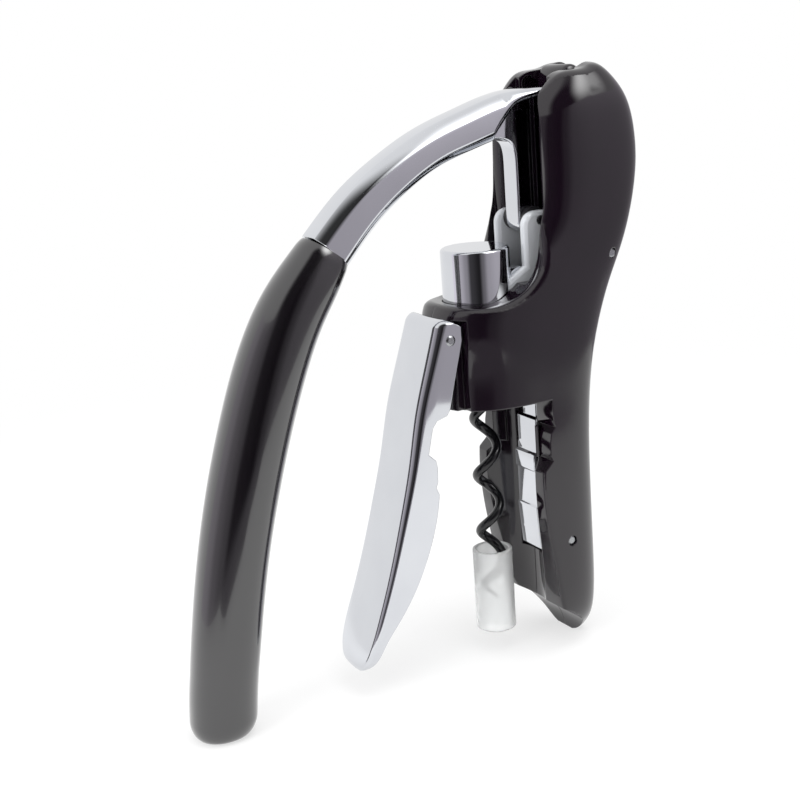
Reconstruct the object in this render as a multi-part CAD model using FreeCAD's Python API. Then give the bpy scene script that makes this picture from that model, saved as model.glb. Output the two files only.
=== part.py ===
import FreeCAD, Part
import math
import os

# Hand-held lever corkscrew that stands over a bottle and grips its neck.
# Frame: the worm's axis is Z, pointing up, and height zero is the plane that the bottle's mouth meets.
# The lever and the clamp handle face -X, the bulged back of the body faces +X, and hinges run along Y.
# Lengths are millimetres and angles are degrees. Near means -Y and far means +Y.

# Fits and overruns
RUNNING_GAP = 0.3
PIN_GAP = 0.05
SEAT_GAP = 0.1
CUT_OVERRUN = 4.0

# Body shell
TOP_HEIGHT = 94.0
LEG_LENGTH = 78.0
BACK_REACH = 50.0
NOSE_REACH = 14.8
HALF_WIDTH = 18.2
BACK_WALL = 3.4
FRONT_FULLNESS = 2.5
BACK_FULLNESS = 3.4
SECTION_POINTS = 24
LOFT_DEGREE = 3

# Body stations above the mouth plane: height, front, back and half width,
# as shares of TOP_HEIGHT, BACK_REACH, BACK_REACH and HALF_WIDTH.
UPPER_STATION_SHARES = (
    (0.15, -0.296, 0.688, 0.945), (0.30, -0.296, 0.785, 0.962), (0.40, -0.080, 0.864, 0.973),
    (0.50, 0.160, 0.928, 0.989), (0.60, 0.236, 0.975, 1.000), (0.72, 0.250, 1.000, 1.000),
    (0.82, 0.262, 0.980, 0.980), (0.90, 0.318, 0.922, 0.910), (0.95, 0.390, 0.850, 0.800),
    (0.98, 0.450, 0.780, 0.690), (1.00, 0.530, 0.690, 0.560))

# Body stations below the mouth plane: depth, back and half width,
# as shares of LEG_LENGTH, BACK_REACH and HALF_WIDTH.
LEG_STATION_SHARES = (
    (1.00, 0.575, 0.260), (0.985, 0.588, 0.430), (0.960, 0.596, 0.580), (0.930, 0.600, 0.710),
    (0.885, 0.602, 0.845), (0.830, 0.602, 0.930), (0.77, 0.602, 0.970), (0.51, 0.602, 0.989),
    (0.26, 0.608, 0.967), (0.00, 0.638, 0.934))

# Front edge of the side plates, from the rim round the nose up to the crest: reach and height shares.
PLATE_EDGE_SHARES = (
    (-0.330, 0.3245), (-0.140, 0.314), (0.000, 0.320), (0.070, 0.333), (0.145, 0.355), (0.215, 0.394),
    (0.252, 0.447), (0.270, 0.510), (0.276, 0.640), (0.280, 0.800), (0.300, 0.870), (0.385, 0.920),
    (0.490, 0.963), (0.640, 0.972), (0.720, 0.994))

# Front edge of the leg's walls: the toothed stretch, the long sweep and the sloping foot.
LEG_TEETH_SHARES = (
    (0.250, 0.085), (0.260, 0.099), (0.228, 0.120), (0.219, 0.154), (0.217, 0.203), (0.232, 0.222),
    (0.206, 0.238), (0.162, 0.263))
LEG_SWEEP_SHARES = (
    (0.162, 0.263), (0.162, 0.385), (0.186, 0.526), (0.222, 0.667), (0.248, 0.778), (0.268, 0.823))
LEG_FOOT_SHARES = (
    (0.268, 0.823), (0.310, 0.836), (0.370, 0.859), (0.435, 0.897), (0.480, 0.942), (0.496, 0.974),
    (0.500, 1.000))

# Rounding of the body's outer edges: the crest's, narrowing along the plates to the rim's, and the leg's
CREST_EDGE_RADIUS = 5.0
RIM_EDGE_RADIUS = 2.5
LEG_EDGE_RADIUS = 1.0

# Spaces inside the body
NECK_RADIUS = 15.25
MOUTH_STEP = 0.5
RAIL_GAP_HALF = 8.6
RAIL_SPACE_FRONT = 4.0
RAIL_SPACE_BACK = 22.6
HEAD_GAP_HALF = 6.7
HEAD_SPACE_FLOOR = 44.0
BACK_SLOT_FLOOR = 56.0
HEAD_SPACE_SLOPE = 12.0

# Rounded inner corners of the side plates' front edges
FLARE_FRONT = 16.2
FLARE_BACK = 19.2
FLARE_HALF = 13.0
FLARE_FLOOR = 34.0

# Rim round the carriage's bore
RIM_DEPTH = 4.0

# Tie pins of the body
TIE_PIN_RADIUS = 1.5
UPPER_PIN_REACH = 36.0
UPPER_PIN_HEIGHT = 39.3
LOWER_PIN_REACH = 16.9
LOWER_PIN_DEPTH = 43.0
PIN_HEAD_SINK = 0.4

# Worm
WORM_RADIUS = 4.5
WORM_WIRE_RADIUS = 1.4
WORM_PITCH = 17.4
WORM_DEPTH = 63.0
WORM_PHASE_DEPTH = 5.7
WORM_PHASE_ANGLE = 150.4
WORM_POINT_RADIUS = 0.35
WORM_POINT_TURN = 200.0
WORM_HEAD_RADIUS = 4.4
WORM_HEAD_LENGTH = 15.0
WORM_HEAD_START = 11.0

# Worm hub, its ring and its washer, inside the carriage
HUB_RADIUS = 6.7
HUB_START = 14.0
HUB_LENGTH = 9.6
RING_THICKNESS = 1.2
RING_WIDTH = 2.4
WASHER_THICKNESS = 1.0

# Nut and mouth seat under the carriage
NUT_RADIUS = 8.2
NUT_START = 3.0
NUT_HEIGHT = 6.0
SEAT_RADIUS = 13.0
SEAT_HEIGHT = 2.5
SEAT_BORE_RADIUS = 5.6
NUT_SCREW_RADIUS = 0.9
NUT_SCREW_CIRCLE = 6.4
NUT_SCREW_HEIGHT = 1.6

# Carriage
CARRIAGE_RADIUS = 9.85
CARRIAGE_START = 9.8
CARRIAGE_TOP = 44.5
CARRIAGE_BORE_RADIUS = 7.0
CARRIAGE_BORE_TOP = 25.4
CARRIAGE_LIGHTENING_RADIUS = 5.6
CARRIAGE_CROWN = 2.6
CARRIAGE_EDGE = 0.8
RAIL_HALF_INNER = 5.3
RAIL_THICKNESS = 2.9
RAIL_START = 6.0
RAIL_NECK_HEIGHT = 38.0
EAR_FRONT = 11.6
EAR_BACK = 22.1
EAR_TOP = 53.2
EAR_CORNER = 4.0
STROKE = 60.0

# Runners of the carriage
RUNNER_FRONT = 18.4
RUNNER_WIDTH = 3.8
RUNNER_PROUD = 1.6
RUNNER_HEIGHT = 14.0
RUNNER_ROOT = 1.0

# Clevis and lever head
CLEVIS_REACH = 17.3
CLEVIS_HEIGHT = 50.5
CLEVIS_PIN_RADIUS = 1.5
HEAD_HALF = 3.3
HEAD_END_RADIUS = 4.0
TRACK_ARM = 24.5
TRACK_START_ANGLE = 25.0
LEVER_TRAVEL = 135.0
TRACK_PIN_RADIUS = 1.2
ROLLER_RADIUS = 2.0
ROLLER_WIDTH = 2.0
TRACK_DEPTH = 2.2
TRACK_TURN_EASE = 6.0
TRACK_POINTS = 9

# Lever head outline, reach and height from the clevis pin as shares of TRACK_ARM, from the throat
# under the arm round the top and the back, down to the clevis.
HEAD_THROAT_SHARES = ((-0.163, 0.633), (-0.204, 0.796), (-0.306, 0.898), (-0.490, 0.953))
HEAD_TOP_SHARES = ((-0.490, 1.320), (-0.163, 1.405), (0.100, 1.440), (0.400, 1.450), (0.610, 1.390))
HEAD_BACK_SHARES = ((0.610, 1.390), (0.660, 1.150), (0.620, 0.860), (0.440, 0.500), (0.230, 0.180))

# Arm of the lever: centre line from the grip's joint to the head, from the clevis pin as shares of
# ARM_REACH, with the depth of the section as a share of ARM_DEPTH.
ARM_REACH = 64.0
ARM_DEPTH = 12.0
ARM_HALF_WIDTH = 6.0
ARM_CHAMFER = 2.6
ARM_STATION_SHARES = (
    (-1.002, -0.011, 1.060), (-0.827, 0.158, 1.000), (-0.650, 0.278, 0.930), (-0.470, 0.367, 0.900),
    (-0.289, 0.422, 0.920), (-0.135, 0.462, 0.940), (0.010, 0.478, 0.950), (0.155, 0.474, 0.950))

# Scoop in both cheeks of the arm beside the thin head plate, with reach and height from the clevis pin
# as shares of TRACK_ARM.
SCOOP_SHARES = (
    (-0.620, 0.850), (-0.530, 0.950), (-0.410, 1.060), (-0.285, 1.180), (-0.220, 1.270),
    (-0.130, 1.335), (0.070, 1.385), (0.250, 1.415), (0.480, 1.425))
TANG_LENGTH = 18.0
TANG_HALF_DEPTH = 4.0
TANG_HALF_WIDTH = 3.6

# Grip: centre line from its joint to the floor as shares of GRIP_REACH and GRIP_DROP, from the clevis
# pin, with the half depth of the section as a share of GRIP_HALF_DEPTH.
GRIP_REACH = 108.0
GRIP_DROP = 128.5
GRIP_HALF_DEPTH = 9.6
GRIP_HALF_WIDTH = 9.2
GRIP_STATION_SHARES = (
    (-0.594, -0.005, 0.760), (-0.640, -0.055, 0.870), (-0.692, -0.111, 0.940), (-0.768, -0.227, 1.000),
    (-0.824, -0.346, 1.010), (-0.872, -0.468, 1.010), (-0.913, -0.593, 1.000), (-0.946, -0.720, 0.990),
    (-0.974, -0.852, 0.980), (-0.986, -0.918, 0.975))
GRIP_END_SHARES = ((-0.992, -0.965, 0.960), (-0.995, -0.988, 0.850), (-0.997, -1.000, 0.640))
GRIP_PIN_RADIUS = 1.0
GRIP_PIN_SHARE = 0.55

# Heel cap at the back of the lever head, and the plate's lug inside it, with reach and height from the
# clevis pin as shares of TRACK_ARM.
HEEL_HALF_WIDTH = 6.3
HEEL_SHARES = ((0.420, 1.330), (0.450, 1.560), (0.520, 1.690), (0.630, 1.705), (0.740, 1.590),
               (0.780, 1.400))
HEEL_LUG_SHARES = ((0.470, 1.250), (0.500, 1.560), (0.680, 1.560), (0.660, 1.150))
HEEL_PIN_SHARE = (0.590, 1.450)

# Head washers
HEAD_WASHER_RADIUS = 3.6

# Clamp handle, with its outline as reach and height shares of CLAMP_REACH and CLAMP_LENGTH from its pin
CLAMP_PIN_REACH = 15.7
CLAMP_PIN_HEIGHT = 21.5
CLAMP_PIN_RADIUS = 1.5
CLAMP_LENGTH = 94.0
CLAMP_REACH = 34.0
CLAMP_HALF_WIDTH = 10.0
CLAMP_WALL = 1.9
CLAMP_EDGE = 0.3
CLAMP_TRAVEL = 9.0
CLAMP_FRONT_SHARES = (
    (-0.092, 0.062), (-0.147, 0.002), (-0.224, -0.080), (-0.338, -0.208), (-0.432, -0.354),
    (-0.532, -0.484), (-0.662, -0.636), (-0.790, -0.766), (-0.915, -0.882), (-0.972, -0.944))
CLAMP_TIP_SHARES = ((-0.972, -0.944), (-0.980, -0.970), (-0.958, -0.984), (-0.912, -0.968))
CLAMP_REAR_SHARES = ((-0.912, -0.968), (-0.800, -0.890), (-0.655, -0.822), (-0.458, -0.722),
                     (-0.290, -0.590), (-0.219, -0.500), (-0.200, -0.460))
CLAMP_STEP_SHARES = ((-0.226, -0.436), (-0.206, -0.420), (-0.200, -0.376), (-0.212, -0.352),
                     (-0.276, -0.330), (-0.222, -0.252), (-0.176, -0.232), (-0.080, -0.223),
                     (-0.047, -0.207), (0.029, -0.105), (0.112, 0.000), (0.118, 0.022))
CLAMP_CORNER_SHARES = ((0.118, 0.022), (0.112, 0.036), (0.092, 0.040))
CLAMP_TIP_WIDTH_SHARES = ((1.00, -0.815), (0.955, -0.890), (0.80, -0.947), (0.45, -0.978), (0.0, -0.986))
KNUCKLE_RADIUS = 2.8

# Clamp pad
PAD_TOP_SHARE = -0.38
PAD_LOW_SHARE = -0.61
PAD_THICKNESS = 3.0

# Latch bar in the back of the leg: reach from the pin as shares of LATCH_DEPTH, height from the pin
# as shares of LATCH_LENGTH
LATCH_HALF_WIDTH = 5.0
LATCH_LENGTH = 46.0
LATCH_DEPTH = 3.7
LATCH_FRONT_SHARES = (
    (-0.680, -0.130), (-0.970, 0.148), (-0.970, 0.163), (-0.840, 0.170), (-0.840, 0.404),
    (-1.000, 0.412), (-1.000, 0.520), (-0.680, 0.530), (-0.680, 0.752), (-0.350, 0.762),
    (-0.350, 1.000))
LATCH_BACK_SHARE = 0.03
LATCH_LUG_RADIUS = 2.9
LATCH_TRAVEL = 4.0
LATCH_SLOT_FRONT = 12.5
LATCH_SLOT_BACK = 22.0
LATCH_SLOT_OVER = 4.0

# Latch spring
SPRING_RADIUS = 2.0
SPRING_WIRE_RADIUS = 0.3
SPRING_TURNS = 3
SPRING_DEPTH = 20.0

# Neck pads on the leg's inner walls
NECK_PAD_THICKNESS = 1.0
NECK_PAD_PROUD = 0.3
NECK_PAD_HEIGHT = 9.4
NECK_PAD_TOP = 7.8
NECK_PAD_START_ANGLE = 33.0
NECK_PAD_END_ANGLE = 49.0

# Sleeve over the worm's point
SLEEVE_GAP = 0.15
SLEEVE_WALL = 1.3
SLEEVE_LENGTH = 25.0
SLEEVE_DEPTH = 71.0


def at(x, y, z):
    return FreeCAD.Vector(x, y, z)


def box(x_low, x_high, y_low, y_high, z_low, z_high):
    corner = at(x_low, y_low, z_low)
    return Part.makeBox(x_high - x_low, y_high - y_low, z_high - z_low, corner)


def upright(radius, z_low, z_high, x=0.0, y=0.0):
    return Part.makeCylinder(radius, z_high - z_low, at(x, y, z_low))


def crosswise(radius, half_length, x, z):
    return Part.makeCylinder(radius, 2 * half_length, at(x, -half_length, z), at(0, 1, 0))


def crosswise_span(radius, y_low, y_high, x, z):
    return Part.makeCylinder(radius, y_high - y_low, at(x, y_low, z), at(0, 1, 0))


def spline(points):
    curve = Part.BSplineCurve()
    curve.interpolate(points)
    return curve.toShape()


def lines(points):
    return [Part.makeLine(a, b) for a, b in zip(points, points[1:])]


def side_points(shares, reach, height, x=0.0, z=0.0):
    """Points in the plane y = 0 from pairs of shares."""
    return [at(x + across * reach, 0, z + up * height) for across, up in shares]


def side_solid(edges, y_low, y_high):
    """Solid between two planes across Y, from the edges of a closed outline in the plane y = 0."""
    wire = Part.Wire(Part.__sortEdges__(edges))
    wire.translate(at(0, y_low, 0))
    return Part.Face(wire).extrude(at(0, y_high - y_low, 0))


def far_copy(shape):
    """The far twin of a near piece."""
    return shape.mirror(at(0, 0, 0), at(0, 1, 0))


def body_section(height, front, back, half_width):
    """Closed wire round the body at one height, blunt in front and fuller behind."""
    centre = (front + back) / 2
    half_length = (back - front) / 2
    points = []
    for index in range(SECTION_POINTS):
        turn = 2 * math.pi * index / SECTION_POINTS
        ahead, aside = math.sin(turn), math.cos(turn)
        power = 2 / (BACK_FULLNESS if ahead > 0 else FRONT_FULLNESS)
        x = centre + half_length * math.copysign(abs(ahead) ** power, ahead)
        points.append(at(x, half_width * math.copysign(abs(aside) ** power, aside), height))
    curve = Part.BSplineCurve()
    steps = [index / SECTION_POINTS for index in range(SECTION_POINTS + 1)]
    curve.interpolate(Points=points, Parameters=steps, PeriodicFlag=True)
    return Part.Wire(curve.toShape())


def body_block():
    """The body's outer form, from the foot to the crest."""
    wires = []
    for depth, back, width in LEG_STATION_SHARES:
        wires.append(body_section(-depth * LEG_LENGTH, -NOSE_REACH, back * BACK_REACH, width * HALF_WIDTH))
    for height, front, back, width in UPPER_STATION_SHARES:
        wires.append(body_section(height * TOP_HEIGHT, front * BACK_REACH, back * BACK_REACH,
                                  width * HALF_WIDTH))
    return Part.makeLoft(wires, True, False, False, LOFT_DEGREE)


def plate_edge_cut():
    """Everything above the rim and in front of the side plates."""
    edge = side_points(PLATE_EDGE_SHARES, BACK_REACH, TOP_HEIGHT)
    top = TOP_HEIGHT + CUT_OVERRUN
    front = -NOSE_REACH - CUT_OVERRUN
    corners = [edge[-1], at(edge[-1].x, 0, top), at(front, 0, top), at(front, 0, edge[0].z), edge[0]]
    return side_solid([spline(edge)] + lines(corners), -HALF_WIDTH - CUT_OVERRUN, 0)


def leg_edge_cut():
    """Everything in front of the leg's walls, under the nose."""
    teeth = side_points(LEG_TEETH_SHARES, BACK_REACH, -LEG_LENGTH)
    sweep = side_points(LEG_SWEEP_SHARES, BACK_REACH, -LEG_LENGTH)
    foot = side_points(LEG_FOOT_SHARES, BACK_REACH, -LEG_LENGTH)
    front = -NOSE_REACH - CUT_OVERRUN
    low = -LEG_LENGTH - CUT_OVERRUN
    corners = [foot[-1], at(foot[-1].x, 0, low), at(front, 0, low), at(front, 0, MOUTH_STEP),
               at(teeth[0].x, 0, MOUTH_STEP), teeth[0]]
    edges = lines(teeth) + [spline(sweep), spline(foot)] + lines(corners)
    return side_solid(edges, -HALF_WIDTH - CUT_OVERRUN, 0)


def track_point(travel, offset):
    """Point beside the path of the lever's track pin, after a given travel in degrees."""
    rise = STROKE / LEVER_TRAVEL
    angle = math.radians(TRACK_START_ANGLE + travel)
    x = CLEVIS_REACH + TRACK_ARM * math.sin(angle)
    z = CLEVIS_HEIGHT + rise * travel + TRACK_ARM * math.cos(angle)
    slope_x = TRACK_ARM * math.cos(angle)
    slope_z = math.degrees(rise) - TRACK_ARM * math.sin(angle)
    length = math.hypot(slope_x, slope_z)
    return at(x + offset * slope_z / length, 0, z - offset * slope_x / length)


def track_slot(start, end, y_low, y_high):
    """Round-ended channel along one stretch of the path of the lever's rollers."""
    half = ROLLER_RADIUS + RUNNING_GAP
    steps = [start + (end - start) * index / (TRACK_POINTS - 1) for index in range(TRACK_POINTS)]
    outer = [track_point(step, half) for step in steps]
    inner = [track_point(step, -half) for step in steps]
    ends = []
    for step, sense in ((start, -1.0), (end, 1.0)):
        centre = track_point(step, 0)
        side = track_point(step, half) - centre
        ahead = at(-side.z * sense, 0, side.x * sense)
        ends.append(Part.Arc(centre + side, centre + ahead, centre - side).toShape())
    return side_solid([spline(outer), spline(inner)] + ends, y_low, y_high)


def track_grooves(y_low, y_high):
    """The two stretches of the cam track, out to its sharp turn and back again."""
    turn = 90.0 - TRACK_START_ANGLE
    return [track_slot(0, turn - TRACK_TURN_EASE, y_low, y_high),
            track_slot(turn + 2 * TRACK_TURN_EASE, LEVER_TRAVEL, y_low, y_high)]


def head_space():
    """Room for the lever head between the plates, open over the top and down the back."""
    back = BACK_REACH + CUT_OVERRUN
    top = TOP_HEIGHT + CUT_OVERRUN
    inner = BACK_REACH - BACK_WALL - HEAD_SPACE_SLOPE / 2
    points = [at(RAIL_SPACE_BACK - CUT_OVERRUN, 0, HEAD_SPACE_FLOOR),
              at(inner - HEAD_SPACE_SLOPE / 2, 0, HEAD_SPACE_FLOOR),
              at(inner, 0, BACK_SLOT_FLOOR), at(back, 0, BACK_SLOT_FLOOR), at(back, 0, top),
              at(RAIL_SPACE_BACK - CUT_OVERRUN, 0, top)]
    return side_solid(lines(points + points[:1]), -HEAD_GAP_HALF, 0)


def plate_flare():
    """Room between the side plates in front, widening forwards in a quarter round."""
    corner = at(FLARE_FRONT, -FLARE_HALF, FLARE_FLOOR)
    inner = at(FLARE_BACK, -RAIL_GAP_HALF, FLARE_FLOOR)
    lean = math.sin(math.pi / 4)
    middle = at(inner.x - (inner.x - corner.x) * lean, corner.y + (inner.y - corner.y) * lean, corner.z)
    front = RAIL_SPACE_FRONT
    corners = [inner, at(inner.x, 0, FLARE_FLOOR), at(front, 0, FLARE_FLOOR),
               at(front, corner.y, FLARE_FLOOR), corner]
    wire = Part.Wire([Part.Arc(corner, middle, inner).toShape()] + lines(corners))
    return Part.Face(wire).extrude(at(0, 0, TOP_HEIGHT))


def knuckle():
    """Near half of the nose's hinge knuckle for the clamp handle."""
    half = CLAMP_HALF_WIDTH - CLAMP_WALL - RUNNING_GAP
    barrel = crosswise_span(KNUCKLE_RADIUS, -half, 0, -CLAMP_PIN_REACH, CLAMP_PIN_HEIGHT)
    neck = box(-CLAMP_PIN_REACH, -NOSE_REACH + KNUCKLE_RADIUS, -half, 0,
               CLAMP_PIN_HEIGHT - KNUCKLE_RADIUS, CLAMP_PIN_HEIGHT + KNUCKLE_RADIUS)
    return barrel.fuse(neck)


def neck_pad(grow):
    """Near pad on the leg's inner wall, or its pocket when grown."""
    outer = NECK_RADIUS + NECK_PAD_THICKNESS - NECK_PAD_PROUD + grow
    inner = NECK_RADIUS - NECK_PAD_PROUD
    top = -NECK_PAD_TOP + grow
    height = NECK_PAD_HEIGHT + 2 * grow
    spread = NECK_PAD_END_ANGLE - NECK_PAD_START_ANGLE
    start = -NECK_PAD_END_ANGLE
    slack = math.degrees(grow / NECK_RADIUS)
    sector = Part.makeCylinder(outer, height, at(0, 0, top - height), at(0, 0, 1), spread + 2 * slack)
    sector = sector.cut(Part.makeCylinder(inner, height, at(0, 0, top - height)))
    sector.rotate(at(0, 0, 0), at(0, 0, 1), start - slack)
    return sector


def outer_edges(shape, shares, reach, height):
    """Edges of a near side that follow one outline on its outer skin."""
    outline = spline(side_points(shares, reach, height))
    found = []
    for edge in shape.Edges:
        middle = edge.valueAt((edge.FirstParameter + edge.LastParameter) / 2)
        spot = Part.Vertex(at(middle.x, 0, middle.z))
        if middle.y < -HALF_WIDTH / 2 and spot.distToShape(outline)[0] < PIN_GAP:
            found.append(edge)
    return found


def body_half():
    """Near half of the body, with every space and hole in it."""
    block = near_side(near_side(body_block()).cut(plate_edge_cut()).cut(leg_edge_cut()))
    plate_edges = outer_edges(block, PLATE_EDGE_SHARES, BACK_REACH, TOP_HEIGHT)
    block = block.makeFillet(CREST_EDGE_RADIUS, RIM_EDGE_RADIUS, plate_edges)
    leg_edges = outer_edges(block, LEG_SWEEP_SHARES, BACK_REACH, -LEG_LENGTH)
    block = block.makeFillet(LEG_EDGE_RADIUS, leg_edges)
    cheek = CLAMP_HALF_WIDTH - CLAMP_WALL - RUNNING_GAP
    flange_top = PLATE_EDGE_SHARES[0][1] * TOP_HEIGHT - RIM_DEPTH
    flange_back = -CLAMP_PIN_REACH + CLAMP_STEP_SHARES[-1][0] * CLAMP_REACH + 2 * RUNNING_GAP
    pocket = box(-NOSE_REACH - CUT_OVERRUN, flange_back, -HALF_WIDTH - CUT_OVERRUN, -cheek,
                 -CUT_OVERRUN, flange_top)
    block = block.cut(pocket).fuse(knuckle())

    low = -LEG_LENGTH - CUT_OVERRUN
    top = TOP_HEIGHT + CUT_OVERRUN
    seat_top = SEAT_HEIGHT + SEAT_GAP
    nut_top = NUT_START + NUT_HEIGHT + SEAT_GAP
    bore = CARRIAGE_RADIUS + RUNNING_GAP
    latch_half = LATCH_HALF_WIDTH + RUNNING_GAP
    runner_back = RUNNER_FRONT + RUNNER_WIDTH
    runner_out = RAIL_HALF_INNER + RAIL_THICKNESS + RUNNER_PROUD
    spaces = [
        upright(NECK_RADIUS, low, MOUTH_STEP),
        upright(SEAT_RADIUS + SEAT_GAP, -CUT_OVERRUN, seat_top),
        upright(SEAT_BORE_RADIUS, -CUT_OVERRUN, NUT_START + SEAT_GAP),
        upright(NUT_RADIUS + SEAT_GAP, NUT_START - SEAT_GAP, nut_top),
        upright(WORM_HEAD_RADIUS + WORM_WIRE_RADIUS, NUT_START, CARRIAGE_START),
        upright(bore, CARRIAGE_START - RUNNING_GAP, top),
        box(RAIL_SPACE_FRONT, RAIL_SPACE_BACK, -RAIL_GAP_HALF, 0, RAIL_START - RUNNING_GAP, top),
        head_space(),
        plate_flare(),
        box(RUNNER_FRONT - RUNNING_GAP, runner_back + RUNNING_GAP, -runner_out - RUNNING_GAP, 0,
            RAIL_START - RUNNING_GAP, RAIL_START + RUNNER_HEIGHT + STROKE + 2 * RUNNING_GAP),
        box(LATCH_SLOT_FRONT, LATCH_SLOT_BACK, -latch_half, 0,
            -LOWER_PIN_DEPTH - LATCH_LUG_RADIUS - LATCH_SLOT_OVER,
            LATCH_LENGTH - LOWER_PIN_DEPTH + RUNNING_GAP),
        crosswise(TIE_PIN_RADIUS + PIN_GAP, HALF_WIDTH + CUT_OVERRUN, UPPER_PIN_REACH, UPPER_PIN_HEIGHT),
        crosswise(TIE_PIN_RADIUS + PIN_GAP, HALF_WIDTH + CUT_OVERRUN, LOWER_PIN_REACH, -LOWER_PIN_DEPTH),
        crosswise(CLAMP_PIN_RADIUS + PIN_GAP, HALF_WIDTH, -CLAMP_PIN_REACH, CLAMP_PIN_HEIGHT),
        neck_pad(SEAT_GAP)]
    spaces += track_grooves(-HEAD_GAP_HALF - TRACK_DEPTH, 0)
    for space in spaces:
        block = block.cut(space)
    return near_side(block)


def near_side(shape):
    """The part of a shape on the near side of the parting plane, as one solid."""
    span = BACK_REACH + TOP_HEIGHT + LEG_LENGTH
    kept = shape.common(box(-span, span, -span, 0, -span, span))
    return max(kept.Solids, key=lambda solid: solid.Volume)


def outer_half_width(reach, height):
    """Half width of the body's outer form at one place, from its stations."""
    rows = [(-depth * LEG_LENGTH, -NOSE_REACH, back * BACK_REACH, width * HALF_WIDTH)
            for depth, back, width in LEG_STATION_SHARES]
    rows += [(up * TOP_HEIGHT, front * BACK_REACH, back * BACK_REACH, width * HALF_WIDTH)
             for up, front, back, width in UPPER_STATION_SHARES]
    for below, above in zip(rows, rows[1:]):
        if below[0] <= height <= above[0]:
            part = (height - below[0]) / (above[0] - below[0])
            front, back, width = [low + part * (high - low) for low, high in zip(below[1:], above[1:])]
            along = (2 * reach - front - back) / (back - front)
            power = BACK_FULLNESS if along > 0 else FRONT_FULLNESS
            return width * (1 - abs(along) ** power) ** (1 / power)
    return 0.0


def tie_pin(reach, height):
    """Pin that joins the halves, with its ends just under the skin."""
    return crosswise(TIE_PIN_RADIUS, outer_half_width(reach, height) - PIN_HEAD_SINK, reach, height)


def clamp_pin():
    return crosswise(CLAMP_PIN_RADIUS, CLAMP_HALF_WIDTH, -CLAMP_PIN_REACH, CLAMP_PIN_HEIGHT)


def mouth_seat():
    ring = upright(SEAT_RADIUS, 0, SEAT_HEIGHT)
    return ring.cut(upright(SEAT_BORE_RADIUS, -CUT_OVERRUN, SEAT_HEIGHT + CUT_OVERRUN))


def worm_angle(z):
    """Direction of the worm's wire at one height, in degrees."""
    return WORM_PHASE_ANGLE + 360 * (z + WORM_PHASE_DEPTH) / WORM_PITCH


def arc_middle(start, direction, end):
    """Middle point of the arc that leaves one point along a direction and ends at another."""
    chord = end - start
    side = direction - chord * (direction.dot(chord) / chord.dot(chord))
    bend = direction.getAngle(chord)
    rise = math.tan(bend / 2) * chord.Length / 2
    return (start + end) * 0.5 + side.normalize() * rise


def helix_edges(radius, pitch, z_low, z_high, start_angle):
    """Right-handed helix made of pairs of tangent arcs, one pair for each quarter turn or less."""
    turns = (z_high - z_low) / pitch
    count = math.ceil(turns * 4)
    places = []
    for index in range(count + 1):
        turn = math.radians(start_angle) + 2 * math.pi * turns * index / count
        place = at(radius * math.cos(turn), radius * math.sin(turn),
                   z_low + (z_high - z_low) * index / count)
        heading = at(-radius * math.sin(turn), radius * math.cos(turn), pitch / (2 * math.pi))
        places.append((place, heading.normalize()))
    edges = []
    for (start, out), (end, into) in zip(places, places[1:]):
        span = end - start
        along = span.dot(out + into)
        slack = 2 * (1 - out.dot(into))
        reach = (math.sqrt(along ** 2 + slack * span.dot(span)) - along) / slack
        joint = (start + end + (out - into) * reach) * 0.5
        edges.append(Part.Arc(start, arc_middle(start, out, joint), joint).toShape())
        edges.append(Part.Arc(joint, arc_middle(end, into * -1, joint), end).toShape())
    return edges


def helix_wire(radius, pitch, z_low, z_high, start_angle):
    return Part.Wire(helix_edges(radius, pitch, z_low, z_high, start_angle))


def least_gap(radius, wire_radius, pitch):
    """Least space between neighbouring turns of a coil, measured on points of its centre line."""
    count = 360
    turns = [4 * math.pi * index / count for index in range(count)]
    points = [at(radius * math.cos(turn), radius * math.sin(turn), pitch * turn / (2 * math.pi))
              for turn in turns]
    first = points[0]
    return min((point - first).Length for point in points[count // 4:]) - 2 * wire_radius


def circle_across(wire, radius, at_end):
    """Circle square to a wire, at its start or its end."""
    edge = wire.Edges[-1] if at_end else wire.Edges[0]
    place = edge.LastParameter if at_end else edge.FirstParameter
    return Part.Wire(Part.makeCircle(radius, edge.valueAt(place), edge.tangentAt(place)))


def tube(wire, start_radius, end_radius):
    shell = Part.BRepOffsetAPI.MakePipeShell(wire)
    shell.add(circle_across(wire, start_radius, False), False, False)
    if end_radius != start_radius:
        shell.add(circle_across(wire, end_radius, True), False, False)
    shell.build()
    shell.makeSolid()
    return shell.shape()


def worm():
    """Right-handed worm with a sharpened point and a plain round head."""
    line = WORM_RADIUS - WORM_WIRE_RADIUS
    point_top = -WORM_DEPTH + WORM_PITCH * WORM_POINT_TURN / 360
    head_top = WORM_HEAD_START + WORM_HEAD_LENGTH
    lead = helix_wire(line, WORM_PITCH, -WORM_DEPTH, point_top, worm_angle(-WORM_DEPTH))
    coil = helix_wire(line, WORM_PITCH, point_top, WORM_HEAD_START + WORM_WIRE_RADIUS,
                      worm_angle(point_top))
    point = tube(lead, WORM_POINT_RADIUS, WORM_WIRE_RADIUS)
    body = tube(coil, WORM_WIRE_RADIUS, WORM_WIRE_RADIUS)
    head = upright(WORM_HEAD_RADIUS, WORM_HEAD_START, head_top)
    return head.fuse([body, point]).removeSplitter()


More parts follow.
